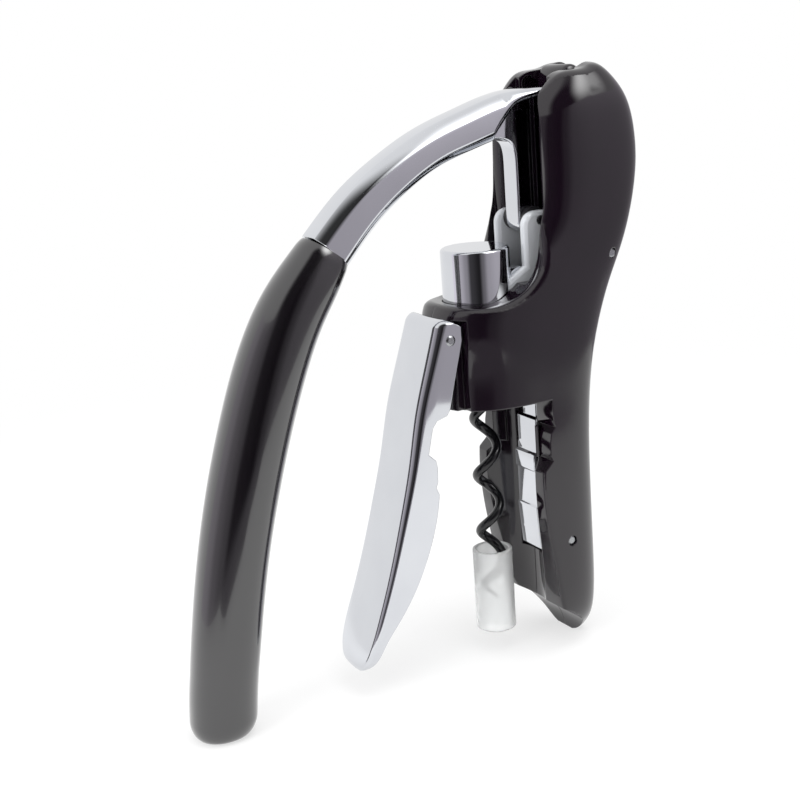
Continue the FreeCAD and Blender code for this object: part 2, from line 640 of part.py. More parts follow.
def worm_nut():
    """Nut in the housing, with a helical way for the worm through it."""
    top = NUT_START + NUT_HEIGHT
    line = WORM_RADIUS - WORM_WIRE_RADIUS
    reach = WORM_PITCH / 4
    way = helix_wire(line, WORM_PITCH, NUT_START - reach, top + reach, worm_angle(NUT_START - reach))
    disc = upright(NUT_RADIUS, NUT_START, top)
    width = WORM_WIRE_RADIUS + RUNNING_GAP
    disc = disc.cut(tube(way, width, width))
    for x in (-NUT_SCREW_CIRCLE, NUT_SCREW_CIRCLE):
        disc = disc.cut(upright(NUT_SCREW_RADIUS + PIN_GAP, top - NUT_SCREW_HEIGHT, top + CUT_OVERRUN, x))
    return disc


def nut_screw(x):
    """Grub screw that lies flush in the top of the nut."""
    top = NUT_START + NUT_HEIGHT
    return upright(NUT_SCREW_RADIUS, top - NUT_SCREW_HEIGHT, top, x)


def worm_hub():
    bush = upright(HUB_RADIUS, HUB_START, HUB_START + HUB_LENGTH)
    return bush.cut(upright(WORM_HEAD_RADIUS + PIN_GAP, 0, HUB_START + HUB_LENGTH + CUT_OVERRUN))


def hub_washer():
    low = HUB_START + HUB_LENGTH + SEAT_GAP
    ring = upright(HUB_RADIUS, low, low + WASHER_THICKNESS)
    return ring.cut(upright(WORM_HEAD_RADIUS + PIN_GAP, 0, low + CUT_OVERRUN))


def hub_ring_outline(grow):
    high = HUB_START - SEAT_GAP + grow
    return upright(CARRIAGE_BORE_RADIUS + RING_THICKNESS / 2 + grow,
                   high - RING_THICKNESS - 2 * grow, high)


def hub_ring():
    """Ring that keeps the hub in the carriage."""
    ring = hub_ring_outline(0)
    inner = CARRIAGE_BORE_RADIUS + RING_THICKNESS / 2 - RING_WIDTH
    return ring.cut(upright(inner, 0, HUB_START + CUT_OVERRUN))


def carriage():
    """Round crosshead with two rails behind it, whose ears carry the lever."""
    barrel = upright(CARRIAGE_RADIUS, CARRIAGE_START, CARRIAGE_TOP)
    top_edges = [edge for edge in barrel.Edges
                 if edge.BoundBox.ZMin > CARRIAGE_TOP - SEAT_GAP and len(edge.Vertexes) == 1]
    barrel = barrel.makeFillet(CARRIAGE_EDGE, top_edges)
    low_front = RAIL_SPACE_FRONT + RUNNING_GAP
    shoulder = EAR_TOP - EAR_CORNER
    points = [at(EAR_FRONT, 0, shoulder), at(EAR_FRONT, 0, RAIL_NECK_HEIGHT),
              at(low_front, 0, RAIL_NECK_HEIGHT - EAR_CORNER), at(low_front, 0, CARRIAGE_START),
              at(CARRIAGE_RADIUS, 0, CARRIAGE_START), at(CARRIAGE_RADIUS, 0, RAIL_START),
              at(EAR_BACK, 0, RAIL_START), at(EAR_BACK, 0, shoulder)]
    lean = EAR_CORNER * (1 - math.sin(math.pi / 4))
    front_top, back_top = at(EAR_FRONT + EAR_CORNER, 0, EAR_TOP), at(EAR_BACK - EAR_CORNER, 0, EAR_TOP)
    edges = lines(points) + [
        Part.Arc(points[-1], at(EAR_BACK - lean, 0, EAR_TOP - lean), back_top).toShape(),
        Part.makeLine(back_top, front_top),
        Part.Arc(front_top, at(EAR_FRONT + lean, 0, EAR_TOP - lean), points[0]).toShape()]
    rail = side_solid(edges, -RAIL_HALF_INNER - RAIL_THICKNESS, -RAIL_HALF_INNER)
    bridge = box(low_front, EAR_FRONT, -RAIL_HALF_INNER, RAIL_HALF_INNER,
                 RAIL_NECK_HEIGHT - 2 * EAR_CORNER, RAIL_NECK_HEIGHT)
    block = barrel.fuse([rail, far_copy(rail), bridge])
    holes = [
        upright(CARRIAGE_BORE_RADIUS, 0, CARRIAGE_BORE_TOP),
        upright(CARRIAGE_LIGHTENING_RADIUS, 0, CARRIAGE_TOP - CARRIAGE_CROWN),
        hub_ring_outline(SEAT_GAP / 2),
        crosswise(CLEVIS_PIN_RADIUS + PIN_GAP, HALF_WIDTH, CLEVIS_REACH, CLEVIS_HEIGHT)]
    for side in (-1, 1):
        outer = RAIL_HALF_INNER + RAIL_THICKNESS
        low, high = sorted((side * (outer - RUNNER_ROOT - SEAT_GAP / 2), side * (outer + CUT_OVERRUN)))
        holes.append(box(RUNNER_FRONT + RUNNER_ROOT - SEAT_GAP / 2,
                         RUNNER_FRONT + RUNNER_WIDTH - RUNNER_ROOT + SEAT_GAP / 2, low, high,
                         RAIL_START + RUNNER_ROOT - SEAT_GAP / 2,
                         RAIL_START + RUNNER_HEIGHT - RUNNER_ROOT + SEAT_GAP / 2))
    for hole in holes:
        block = block.cut(hole)
    return block.removeSplitter()


def runner():
    """Near runner, with a root let into the rail."""
    outer = RAIL_HALF_INNER + RAIL_THICKNESS
    shoe = box(RUNNER_FRONT, RUNNER_FRONT + RUNNER_WIDTH, -outer - RUNNER_PROUD, -outer,
               RAIL_START, RAIL_START + RUNNER_HEIGHT)
    root = box(RUNNER_FRONT + RUNNER_ROOT, RUNNER_FRONT + RUNNER_WIDTH - RUNNER_ROOT,
               -outer, -outer + RUNNER_ROOT, RAIL_START + RUNNER_ROOT,
               RAIL_START + RUNNER_HEIGHT - RUNNER_ROOT)
    return shoe.fuse(root).removeSplitter()


def clevis_pin():
    return crosswise(CLEVIS_PIN_RADIUS, RAIL_HALF_INNER + RAIL_THICKNESS, CLEVIS_REACH, CLEVIS_HEIGHT)


def head_washer():
    """Near washer between the lever head and an ear."""
    ring = crosswise_span(HEAD_WASHER_RADIUS, -RAIL_HALF_INNER + SEAT_GAP, -HEAD_HALF - SEAT_GAP,
                          CLEVIS_REACH, CLEVIS_HEIGHT)
    return ring.cut(crosswise(CLEVIS_PIN_RADIUS + PIN_GAP, HALF_WIDTH, CLEVIS_REACH, CLEVIS_HEIGHT))


def from_clevis(shares, reach, height):
    return side_points(shares, reach, height, CLEVIS_REACH, CLEVIS_HEIGHT)


def path_directions(points):
    """Unit directions along a chain of points."""
    behind = points[:1] + points[:-1]
    ahead = points[1:] + points[-1:]
    return [(after - before).normalize() for before, after in zip(behind, ahead)]


def chamfered_section(centre, direction, half_depth, half_width, chamfer):
    """Eight-sided section of the arm, square to its centre line."""
    normal = at(-direction.z, 0, direction.x)
    corners = []
    for side, up in ((-1, 1), (1, 1), (1, -1), (-1, -1)):
        wide = at(0, side * (half_width - chamfer), 0) + normal * (up * half_depth)
        deep = at(0, side * half_width, 0) + normal * (up * (half_depth - chamfer))
        pair = (deep, wide) if side * up < 0 else (wide, deep)
        corners += [centre + offset for offset in pair]
    return Part.makePolygon(corners + corners[:1])


def oval_section(centre, direction, half_depth, half_width):
    """Oval section of the grip, square to its centre line."""
    normal = at(-direction.z, 0, direction.x)
    points = []
    for index in range(SECTION_POINTS - 1):
        turn = 2 * math.pi * index / (SECTION_POINTS - 1)
        aside = at(0, half_width * math.sin(turn), 0)
        points.append(centre + normal * (half_depth * math.cos(turn)) + aside)
    curve = Part.BSplineCurve()
    curve.interpolate(Points=points, PeriodicFlag=True)
    return Part.Wire(curve.toShape())


def lever_arm():
    """Arched arm with a thin head plate that reaches down to the clevis, and a tang for the grip."""
    centres = from_clevis([row[:2] for row in ARM_STATION_SHARES], ARM_REACH, ARM_REACH)
    directions = path_directions(centres)
    sections = [chamfered_section(centre, direction, row[2] * ARM_DEPTH / 2, ARM_HALF_WIDTH, ARM_CHAMFER)
                for centre, direction, row in zip(centres, directions, ARM_STATION_SHARES)]
    arm = Part.makeLoft(sections, True, False, False, LOFT_DEGREE)

    throat = from_clevis(HEAD_THROAT_SHARES, TRACK_ARM, TRACK_ARM)
    top = from_clevis(HEAD_TOP_SHARES, TRACK_ARM, TRACK_ARM)
    back = from_clevis(HEAD_BACK_SHARES, TRACK_ARM, TRACK_ARM)
    front_low = at(CLEVIS_REACH - HEAD_END_RADIUS, 0, CLEVIS_HEIGHT)
    back_low = at(CLEVIS_REACH + HEAD_END_RADIUS, 0, CLEVIS_HEIGHT)
    bottom = at(CLEVIS_REACH, 0, CLEVIS_HEIGHT - HEAD_END_RADIUS)
    edges = [Part.makeLine(front_low, throat[0]), spline(throat), Part.makeLine(throat[-1], top[0]),
             spline(top), spline(back), Part.makeLine(back[-1], back_low),
             Part.Arc(back_low, bottom, front_low).toShape()]
    plate = side_solid(edges, -HEAD_HALF, HEAD_HALF)

    scoop = from_clevis(SCOOP_SHARES, TRACK_ARM, TRACK_ARM)
    low = CLEVIS_HEIGHT
    outline = [scoop[-1], at(scoop[-1].x, 0, low), at(scoop[0].x, 0, low), scoop[0]]
    for side in (-1, 1):
        y_low, y_high = sorted((side * HEAD_HALF, side * (ARM_HALF_WIDTH + CUT_OVERRUN)))
        arm = arm.cut(side_solid([spline(scoop)] + lines(outline), y_low, y_high))

    start, direction = centres[0], directions[0]
    normal = at(-direction.z, 0, direction.x)
    corners = [start + normal * TANG_HALF_DEPTH + direction * ARM_CHAMFER,
               start + normal * TANG_HALF_DEPTH - direction * TANG_LENGTH,
               start - normal * TANG_HALF_DEPTH - direction * TANG_LENGTH,
               start - normal * TANG_HALF_DEPTH + direction * ARM_CHAMFER]
    tang = side_solid(lines(corners + corners[:1]), -TANG_HALF_WIDTH, TANG_HALF_WIDTH)

    lug = from_clevis(HEEL_LUG_SHARES, TRACK_ARM, TRACK_ARM)
    lug = side_solid(lines(lug + lug[:1]), -HEAD_HALF, HEAD_HALF)
    whole = arm.fuse([plate, lug, tang])
    peg = track_point(0, 0)
    heel_hole = heel_pin_centre()
    holes = [crosswise(CLEVIS_PIN_RADIUS + PIN_GAP, HALF_WIDTH, CLEVIS_REACH, CLEVIS_HEIGHT),
             crosswise(TRACK_PIN_RADIUS + PIN_GAP, HALF_WIDTH, peg.x, peg.z),
             crosswise(GRIP_PIN_RADIUS + PIN_GAP, HALF_WIDTH, grip_pin_centre().x, grip_pin_centre().z),
             crosswise(GRIP_PIN_RADIUS + PIN_GAP, HALF_WIDTH, heel_hole.x, heel_hole.z)]
    for hole in holes:
        whole = whole.cut(hole)
    return whole.removeSplitter()


def tang_frame():
    """Start, direction and normal of the tang, from the arm's first stations."""
    centres = from_clevis([row[:2] for row in ARM_STATION_SHARES], ARM_REACH, ARM_REACH)
    direction = path_directions(centres)[0]
    return centres[0], direction, at(-direction.z, 0, direction.x)


def grip_pin_centre():
    start, direction, _ = tang_frame()
    return start - direction * (TANG_LENGTH * GRIP_PIN_SHARE)


def grip_pin():
    """Cross pin through the grip and the tang."""
    centre = grip_pin_centre()
    return crosswise(GRIP_PIN_RADIUS, TANG_HALF_WIDTH + TIE_PIN_RADIUS, centre.x, centre.z)


def lever_grip():
    """Curved grip that swells along its length and ends flat on the floor."""
    centres = from_clevis([row[:2] for row in GRIP_STATION_SHARES], GRIP_REACH, GRIP_DROP)
    directions = path_directions(centres)
    start, along, normal = tang_frame()
    centres[0] = start - along * SEAT_GAP
    directions[0] = at(-along.x, 0, -along.z)
    sections = [oval_section(centre, direction, row[2] * GRIP_HALF_DEPTH, row[2] * GRIP_HALF_WIDTH)
                for centre, direction, row in zip(centres, directions, GRIP_STATION_SHARES)]
    for across, up, size in GRIP_END_SHARES:
        centre = from_clevis([(across, up)], GRIP_REACH, GRIP_DROP)[0]
        sections.append(oval_section(centre, at(0, 0, -1), size * GRIP_HALF_DEPTH, size * GRIP_HALF_WIDTH))
    body = Part.makeLoft(sections, True, False, False, LOFT_DEGREE)
    corners = [start + normal * (TANG_HALF_DEPTH + SEAT_GAP) + along * CUT_OVERRUN,
               start + normal * (TANG_HALF_DEPTH + SEAT_GAP) - along * (TANG_LENGTH + SEAT_GAP),
               start - normal * (TANG_HALF_DEPTH + SEAT_GAP) - along * (TANG_LENGTH + SEAT_GAP),
               start - normal * (TANG_HALF_DEPTH + SEAT_GAP) + along * CUT_OVERRUN]
    half = TANG_HALF_WIDTH + SEAT_GAP
    body = body.cut(side_solid(lines(corners + corners[:1]), -half, half))
    centre = grip_pin_centre()
    return body.cut(crosswise(GRIP_PIN_RADIUS + PIN_GAP, TANG_HALF_WIDTH + TIE_PIN_RADIUS + SEAT_GAP,
                              centre.x, centre.z))


def heel_pin_centre():
    return from_clevis([HEEL_PIN_SHARE], TRACK_ARM, TRACK_ARM)[0]


def heel_pin():
    centre = heel_pin_centre()
    return crosswise(GRIP_PIN_RADIUS, HEEL_HALF_WIDTH, centre.x, centre.z)


def heel_cap():
    """Rounded cap on the back of the lever head, with a slot for the plate's lug."""
    points = from_clevis(HEEL_SHARES, TRACK_ARM, TRACK_ARM)
    block = side_solid([spline(points), Part.makeLine(points[-1], points[0])],
                       -HEEL_HALF_WIDTH, HEEL_HALF_WIDTH)
    slot = HEAD_HALF + SEAT_GAP
    low, high = points[0].z - CUT_OVERRUN, heel_lug_top() + SEAT_GAP
    block = block.cut(box(points[0].x - CUT_OVERRUN, points[-1].x + CUT_OVERRUN, -slot, slot, low, high))
    centre = heel_pin_centre()
    return block.cut(crosswise(GRIP_PIN_RADIUS + PIN_GAP, HALF_WIDTH, centre.x, centre.z))


def heel_lug_top():
    return max(point.z for point in from_clevis(HEEL_LUG_SHARES, TRACK_ARM, TRACK_ARM))


def track_pin():
    centre = track_point(0, 0)
    return crosswise(TRACK_PIN_RADIUS, HEAD_GAP_HALF + TRACK_DEPTH - RUNNING_GAP, centre.x, centre.z)


def track_roller():
    """Near roller on the end of the track pin."""
    centre = track_point(0, 0)
    outer = -HEAD_GAP_HALF - TRACK_DEPTH + RUNNING_GAP
    ring = crosswise_span(ROLLER_RADIUS, outer, outer + ROLLER_WIDTH, centre.x, centre.z)
    return ring.cut(crosswise(TRACK_PIN_RADIUS + PIN_GAP, HALF_WIDTH, centre.x, centre.z))


def from_clamp_pin(shares):
    return side_points(shares, CLAMP_REACH, CLAMP_LENGTH, -CLAMP_PIN_REACH, CLAMP_PIN_HEIGHT)


def clamp_outline():
    """Edges of the clamp handle's side view."""
    front = from_clamp_pin(CLAMP_FRONT_SHARES)
    corner = from_clamp_pin(CLAMP_CORNER_SHARES)
    rear = from_clamp_pin(CLAMP_REAR_SHARES)
    steps = from_clamp_pin(CLAMP_REAR_SHARES[-1:] + CLAMP_STEP_SHARES)
    tip = from_clamp_pin(CLAMP_TIP_SHARES)
    return [spline(front + tip[1:] + rear[1:])] + lines(steps) + lines(corner + front[:1])


def clamp_inner(offset):
    """Points along the inside of the clamp handle's front wall."""
    front = from_clamp_pin(CLAMP_FRONT_SHARES[:-1])
    directions = path_directions(front)
    return [point + at(-along.z, 0, along.x) * offset for point, along in zip(front, directions)]


def clamp_handle():
    """Pressed handle of U section with a rounded tip, hinged on the nose."""
    shape = side_solid(clamp_outline(), -CLAMP_HALF_WIDTH, CLAMP_HALF_WIDTH)
    reach = CLAMP_REACH + CUT_OVERRUN
    high = CLAMP_PIN_HEIGHT + CLAMP_LENGTH
    inner = clamp_inner(CLAMP_WALL)
    back = -CLAMP_PIN_REACH + CLAMP_REACH
    outline = [inner[-1], at(back, 0, inner[-1].z), at(back, 0, high), at(inner[0].x, 0, high), inner[0]]
    half = CLAMP_HALF_WIDTH - CLAMP_WALL
    hollow = side_solid([spline(inner)] + lines(outline), -half, half)
    long_edges = [edge for edge in shape.Edges
                  if edge.Length > CLAMP_LENGTH and edge.BoundBox.YLength < CLAMP_WALL]
    shape = shape.makeFillet(CLAMP_EDGE, long_edges)

    right = [at(-CLAMP_PIN_REACH - reach, across * CLAMP_HALF_WIDTH, CLAMP_PIN_HEIGHT + up * CLAMP_LENGTH)
             for across, up in CLAMP_TIP_WIDTH_SHARES]
    left = [at(point.x, -point.y, point.z) for point in reversed(right)]
    curve = right + left[1:]
    far_top = at(curve[0].x, CLAMP_HALF_WIDTH, high)
    near_top = at(curve[0].x, -CLAMP_HALF_WIDTH, high)
    wire = Part.Wire([spline(curve)] + lines([curve[-1], near_top, far_top, curve[0]]))
    keep = Part.Face(wire).extrude(at(2 * reach, 0, 0))
    shape = shape.common(keep).cut(hollow)
    return shape.cut(crosswise(CLAMP_PIN_RADIUS + PIN_GAP, HALF_WIDTH, -CLAMP_PIN_REACH, CLAMP_PIN_HEIGHT))


def clamp_pad():
    """Rubber pad on the inside of the clamp handle's front wall, behind the bottle's neck."""
    half = CLAMP_HALF_WIDTH - CLAMP_WALL - SEAT_GAP
    outer = clamp_inner(CLAMP_WALL + SEAT_GAP)
    inner = clamp_inner(CLAMP_WALL + PAD_THICKNESS)
    low = CLAMP_PIN_HEIGHT + PAD_LOW_SHARE * CLAMP_LENGTH
    high = CLAMP_PIN_HEIGHT + PAD_TOP_SHARE * CLAMP_LENGTH
    strip = side_solid([spline(outer), spline(inner), Part.makeLine(outer[0], inner[0]),
                        Part.makeLine(outer[-1], inner[-1])], -half, half)
    span = BACK_REACH
    return strip.common(box(-span, span, -half, half, low, high))


def latch_outline_points():
    return side_points(LATCH_FRONT_SHARES, LATCH_DEPTH, LATCH_LENGTH, LOWER_PIN_REACH, -LOWER_PIN_DEPTH)


def latch_bar():
    """Stepped bar in the back of the leg, hinged on the lower pin."""
    front = latch_outline_points()
    back = LOWER_PIN_REACH + LATCH_BACK_SHARE * LATCH_DEPTH
    outline = front + [at(back, 0, front[-1].z), at(back, 0, front[0].z), front[0]]
    bar = side_solid(lines(outline), -LATCH_HALF_WIDTH, LATCH_HALF_WIDTH)
    lug = crosswise(LATCH_LUG_RADIUS, LATCH_HALF_WIDTH, LOWER_PIN_REACH, -LOWER_PIN_DEPTH)
    keep = box(front[1].x, LATCH_SLOT_BACK, -LATCH_HALF_WIDTH, LATCH_HALF_WIDTH, -LEG_LENGTH, 0)
    bar = bar.fuse(lug.common(keep))
    bar = bar.cut(crosswise(TIE_PIN_RADIUS + PIN_GAP, HALF_WIDTH, LOWER_PIN_REACH, -LOWER_PIN_DEPTH))
    return bar.removeSplitter()


def latch_spring():
    """Small coil spring between the latch bar and the back of its slot."""
    back = LOWER_PIN_REACH + LATCH_BACK_SHARE * LATCH_DEPTH
    low = back + SPRING_WIRE_RADIUS + SEAT_GAP
    high = LATCH_SLOT_BACK - SPRING_WIRE_RADIUS - SEAT_GAP
    wire = helix_wire(SPRING_RADIUS, (high - low) / SPRING_TURNS, 0, high - low, 0)
    coil = tube(wire, SPRING_WIRE_RADIUS, SPRING_WIRE_RADIUS)
    coil.rotate(at(0, 0, 0), at(0, 1, 0), 90)
    coil.translate(at(low, 0, -SPRING_DEPTH))
    return coil


def tip_sleeve():
    bore = WORM_RADIUS + SLEEVE_GAP
    low = -SLEEVE_DEPTH
    ring = upright(bore + SLEEVE_WALL, low, low + SLEEVE_LENGTH)
    return ring.cut(upright(bore, low - CUT_OVERRUN, low + SLEEVE_LENGTH + CUT_OVERRUN))


def main():
    near_half = body_half()
    near_runner = runner()
    near_washer = head_washer()
    near_roller = track_roller()
    near_pad = neck_pad(0)
    nodes = {
        "body_half_near": near_half,
        "body_half_far": far_copy(near_half),
        "upper_tie_pin": tie_pin(UPPER_PIN_REACH, UPPER_PIN_HEIGHT),
        "lower_tie_pin": tie_pin(LOWER_PIN_REACH, -LOWER_PIN_DEPTH),
        "clamp_hinge_pin": clamp_pin(),
        "mouth_seat": mouth_seat(),
        "worm_nut": worm_nut(),
        "nut_screw_front": nut_screw(-NUT_SCREW_CIRCLE),
        "nut_screw_back": nut_screw(NUT_SCREW_CIRCLE),
        "neck_pad_near": near_pad,
        "neck_pad_far": far_copy(near_pad),
        "carriage": carriage(),
        "clevis_pin": clevis_pin(),
        "runner_near": near_runner,
        "runner_far": far_copy(near_runner),
        "hub_ring": hub_ring(),
        "worm": worm(),
        "worm_hub": worm_hub(),
        "hub_washer": hub_washer(),
        "tip_sleeve": tip_sleeve(),
        "lever_arm": lever_arm(),
        "lever_grip": lever_grip(),
        "grip_pin": grip_pin(),
        "heel_cap": heel_cap(),
        "heel_pin": heel_pin(),
        "track_pin": track_pin(),
        "track_roller_near": near_roller,
        "track_roller_far": far_copy(near_roller),
        "head_washer_near": near_washer,
        "head_washer_far": far_copy(near_washer),
        "clamp_handle": clamp_handle(),
        "clamp_pad": clamp_pad(),
        "latch_bar": latch_bar(),
        "latch_spring": latch_spring(),
    }
    print("worm gap", least_gap(WORM_RADIUS - WORM_WIRE_RADIUS, WORM_WIRE_RADIUS, WORM_PITCH))
    os.makedirs("parts", exist_ok=True)
    for name, shape in nodes.items():
        print(name, len(shape.Solids), round(shape.Volume, 1), shape.isValid(), shape.BoundBox)
        shape.exportStep(os.path.join("parts", name + ".step"))


main()
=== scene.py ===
"""Dressed model of a hand-held lever corkscrew that stands over a bottle and grips its neck.

Lengths in the sizes below are millimetres and become metres when a mesh is made. The worm's axis
is Z, the lever and the clamp handle face -X, the bulged back faces +X, and the hinges run along Y.
"""
import logging
import math
from dataclasses import dataclass, field
from enum import Enum

import bpy
import numpy as np
from mathutils import Matrix, Vector


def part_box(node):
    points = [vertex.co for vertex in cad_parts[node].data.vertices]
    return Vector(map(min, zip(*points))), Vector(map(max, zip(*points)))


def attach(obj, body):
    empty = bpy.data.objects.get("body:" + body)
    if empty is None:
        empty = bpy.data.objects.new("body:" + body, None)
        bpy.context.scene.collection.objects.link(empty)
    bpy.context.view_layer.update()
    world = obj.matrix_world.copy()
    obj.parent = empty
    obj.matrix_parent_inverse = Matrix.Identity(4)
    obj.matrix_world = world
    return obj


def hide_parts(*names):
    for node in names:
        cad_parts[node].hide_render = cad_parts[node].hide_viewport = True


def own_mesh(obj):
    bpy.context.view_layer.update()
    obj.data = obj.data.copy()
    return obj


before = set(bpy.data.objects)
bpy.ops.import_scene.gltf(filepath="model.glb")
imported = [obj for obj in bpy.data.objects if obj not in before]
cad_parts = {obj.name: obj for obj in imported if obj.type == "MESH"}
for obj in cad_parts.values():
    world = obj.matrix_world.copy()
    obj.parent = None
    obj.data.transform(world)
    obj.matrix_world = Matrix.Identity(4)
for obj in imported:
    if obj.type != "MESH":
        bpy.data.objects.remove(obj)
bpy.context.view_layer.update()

LOG = logging.getLogger("corkscrew")
MM = 0.001
# Rows of numbers, such as the corners of an outline.
Rows = tuple[tuple[float, ...], ...]
Pair = tuple[float, float]
Array = np.ndarray
Tree = bpy.types.NodeTree
Socket = bpy.types.NodeSocket
# X and Z of the clevis pin, height of the floor, and radius and end bevel of the plain pins.
CLEVIS = np.array((17.3, 50.5))
FLOOR = -78.0
PIN_RADIUS, PIN_BEVEL = 1.5, 0.35
# Size of the soft patches in every finish, and how far drawn lines are stretched along Y.
PATCH_SIZE = 14.0
DRAWN_SHARE = 0.06
# Middle range of the noise, which becomes the range of roughness, and roughness of every clear coat.
NOISE_RANGE = (0.3, 0.7)
COAT_ROUGH = 0.03
# Largest share of a side that a rounded corner takes, and the limit on how far a mitred corner moves.
CORNER_SHARE = 0.45
MITRE_LEAST = 0.6


def linear(colour: str) -> tuple[float, float, float, float]:
    """Turn an sRGB colour into the linear one that a shader reads.

    Args:
        colour: Six hex digits after a hash.

    Returns:
        Red, green, blue and an alpha of one.
    """
    parts = np.array([int(colour[at:at + 2], 16) / 255 for at in (1, 3, 5)])
    light = np.where(parts <= 0.04045, parts / 12.92, ((parts + 0.055) / 1.055) ** 2.4)
    return (*light.tolist(), 1.0)


def add(tree: Tree, kind: str, settings: dict | None = None,
        links: dict | None = None) -> bpy.types.Node:
    """Add one node with its settings and its incoming links.

    Args:
        tree: Node tree that takes the node.
        kind: Blender's name of the node type.
        settings: Values by property name, or by the name or index of a socket.
        links: Outgoing sockets of other nodes, by the name or index of the socket they feed.

    Returns:
        The new node.
    """
    node = tree.nodes.new(kind)
    for name, value in (settings or {}).items():
        if isinstance(name, str) and name[0].islower():
            setattr(node, name, value)
        else:
            node.inputs[name].default_value = value
    for name, source in (links or {}).items():
        tree.links.new(source, node.inputs[name])
    return node


def remap(tree: Tree, value: Socket, start: Pair, end: Pair, kind: str = "LINEAR") -> Socket:
    """Carry a value from one range to another and hold it at the ends.

    Args:
        tree: Node tree that takes the node.
        value: Socket of the value.
        start: Range that the value comes from.
        end: Range that it goes to.
        kind: Blender's name of the curve between the ends.

    Returns:
        Socket of the new value.
    """
    return add(tree, "ShaderNodeMapRange",
               {"interpolation_type": kind, "From Min": start[0], "From Max": start[1], "To Min": end[0],
                "To Max": end[1]}, {"Value": value}).outputs["Result"]


def reckon(tree: Tree, operation: str, *values: Socket | float) -> Socket:
    """Do one step of arithmetic in a node tree.

    Args:
        tree: Node tree that takes the node.
        operation: Blender's name of the step.
        values: Sockets and plain numbers, in order.

    Returns:
        Socket of the result.
    """
    plain = {at: value for at, value in enumerate(values) if isinstance(value, float)}
    linked = {at: value for at, value in enumerate(values) if at not in plain}
    return add(tree, "ShaderNodeMath", {"operation": operation, **plain}, linked).outputs[0]


def blank(name: str) -> tuple[bpy.types.Material, Tree]:
    """Make a material whose node tree is empty, and give both."""
    material = bpy.data.materials.new(name)
    material.use_nodes = True
    material.node_tree.nodes.clear()
    return material, material.node_tree


class Relief(Enum):
    """What the fine surface of a finish looks like."""

    MOULDED = "moulded"
    POLISHED = "polished"
    DRAWN = "drawn"
    COATED = "coated"


@dataclass(frozen=True)
class Finish:
    """Material of one kind of piece, named for what the real one is.

    Attributes:
        name: The material's common name and how its surface was made.
        colour: Main colour, sRGB.
        shade: Second colour that the main one drifts towards in soft patches, sRGB.
        rough: Lowest and highest roughness.
        relief: Kind of fine surface.
        grain: Size of the fine relief in millimetres.
        depth: Height of the fine relief in millimetres.
        metallic: One for bare or plated metal.
        specular: Specular level, where 0.5 is a refractive index of 1.5.
        coat: Weight of a clear top layer.
        transmission: Share of light that passes into the piece.
        edge: Radius in millimetres of the soft light along sharp edges.
    """

    name: str
    colour: str
    shade: str
    rough: Pair
    relief: Relief
    grain: float
    depth: float
    metallic: float = 0.0
    specular: float = 0.5
    coat: float = 0.0
    transmission: float = 0.0
    edge: float = 0.0

    def build(self) -> bpy.types.Material:
        """Make the material with procedural colour, roughness and relief.

        Returns:
            The Blender material.
        """
        material, tree = blank(self.name)
        place = add(tree, "ShaderNodeTexCoord").outputs["Object"]
        stretch = (1.0, DRAWN_SHARE, 1.0) if self.relief is Relief.DRAWN else (1.0, 1.0, 1.0)
        drawn = add(tree, "ShaderNodeMapping", {"Scale": stretch}, {"Vector": place}).outputs["Vector"]
        fine = add(tree, "ShaderNodeTexNoise", {"Scale": 1 / (self.grain * MM), "Detail": 3.0},
                   {"Vector": drawn}).outputs["Fac"]
        patches = add(tree, "ShaderNodeTexNoise", {"Scale": 1 / (PATCH_SIZE * MM), "Detail": 2.0},
                      {"Vector": place}).outputs["Fac"]
        tone = add(tree, "ShaderNodeMix",
                   {"data_type": "RGBA", 6: linear(self.colour), 7: linear(self.shade)},
                   {0: patches}).outputs[2]
        spread = fine if self.relief in (Relief.DRAWN, Relief.COATED) else patches
        rough = remap(tree, spread, NOISE_RANGE, self.rough)
        relief_links = {"Height": fine}
        if self.edge:
            relief_links["Normal"] = add(tree, "ShaderNodeBevel", {"samples": 8, "Radius": self.edge * MM}
                                         ).outputs["Normal"]
        relief = add(tree, "ShaderNodeBump", {"Strength": 1.0, "Distance": self.depth * MM}, relief_links)
        shader = add(tree, "ShaderNodeBsdfPrincipled",
                     {"Metallic": self.metallic, "Specular IOR Level": self.specular,
                      "Coat Weight": self.coat, "Coat Roughness": COAT_ROUGH,
                      "Transmission Weight": self.transmission},
                     {"Base Color": tone, "Roughness": rough, "Normal": relief.outputs["Normal"]})
        add(tree, "ShaderNodeOutputMaterial", None, {"Surface": shader.outputs["BSDF"]})
        return material


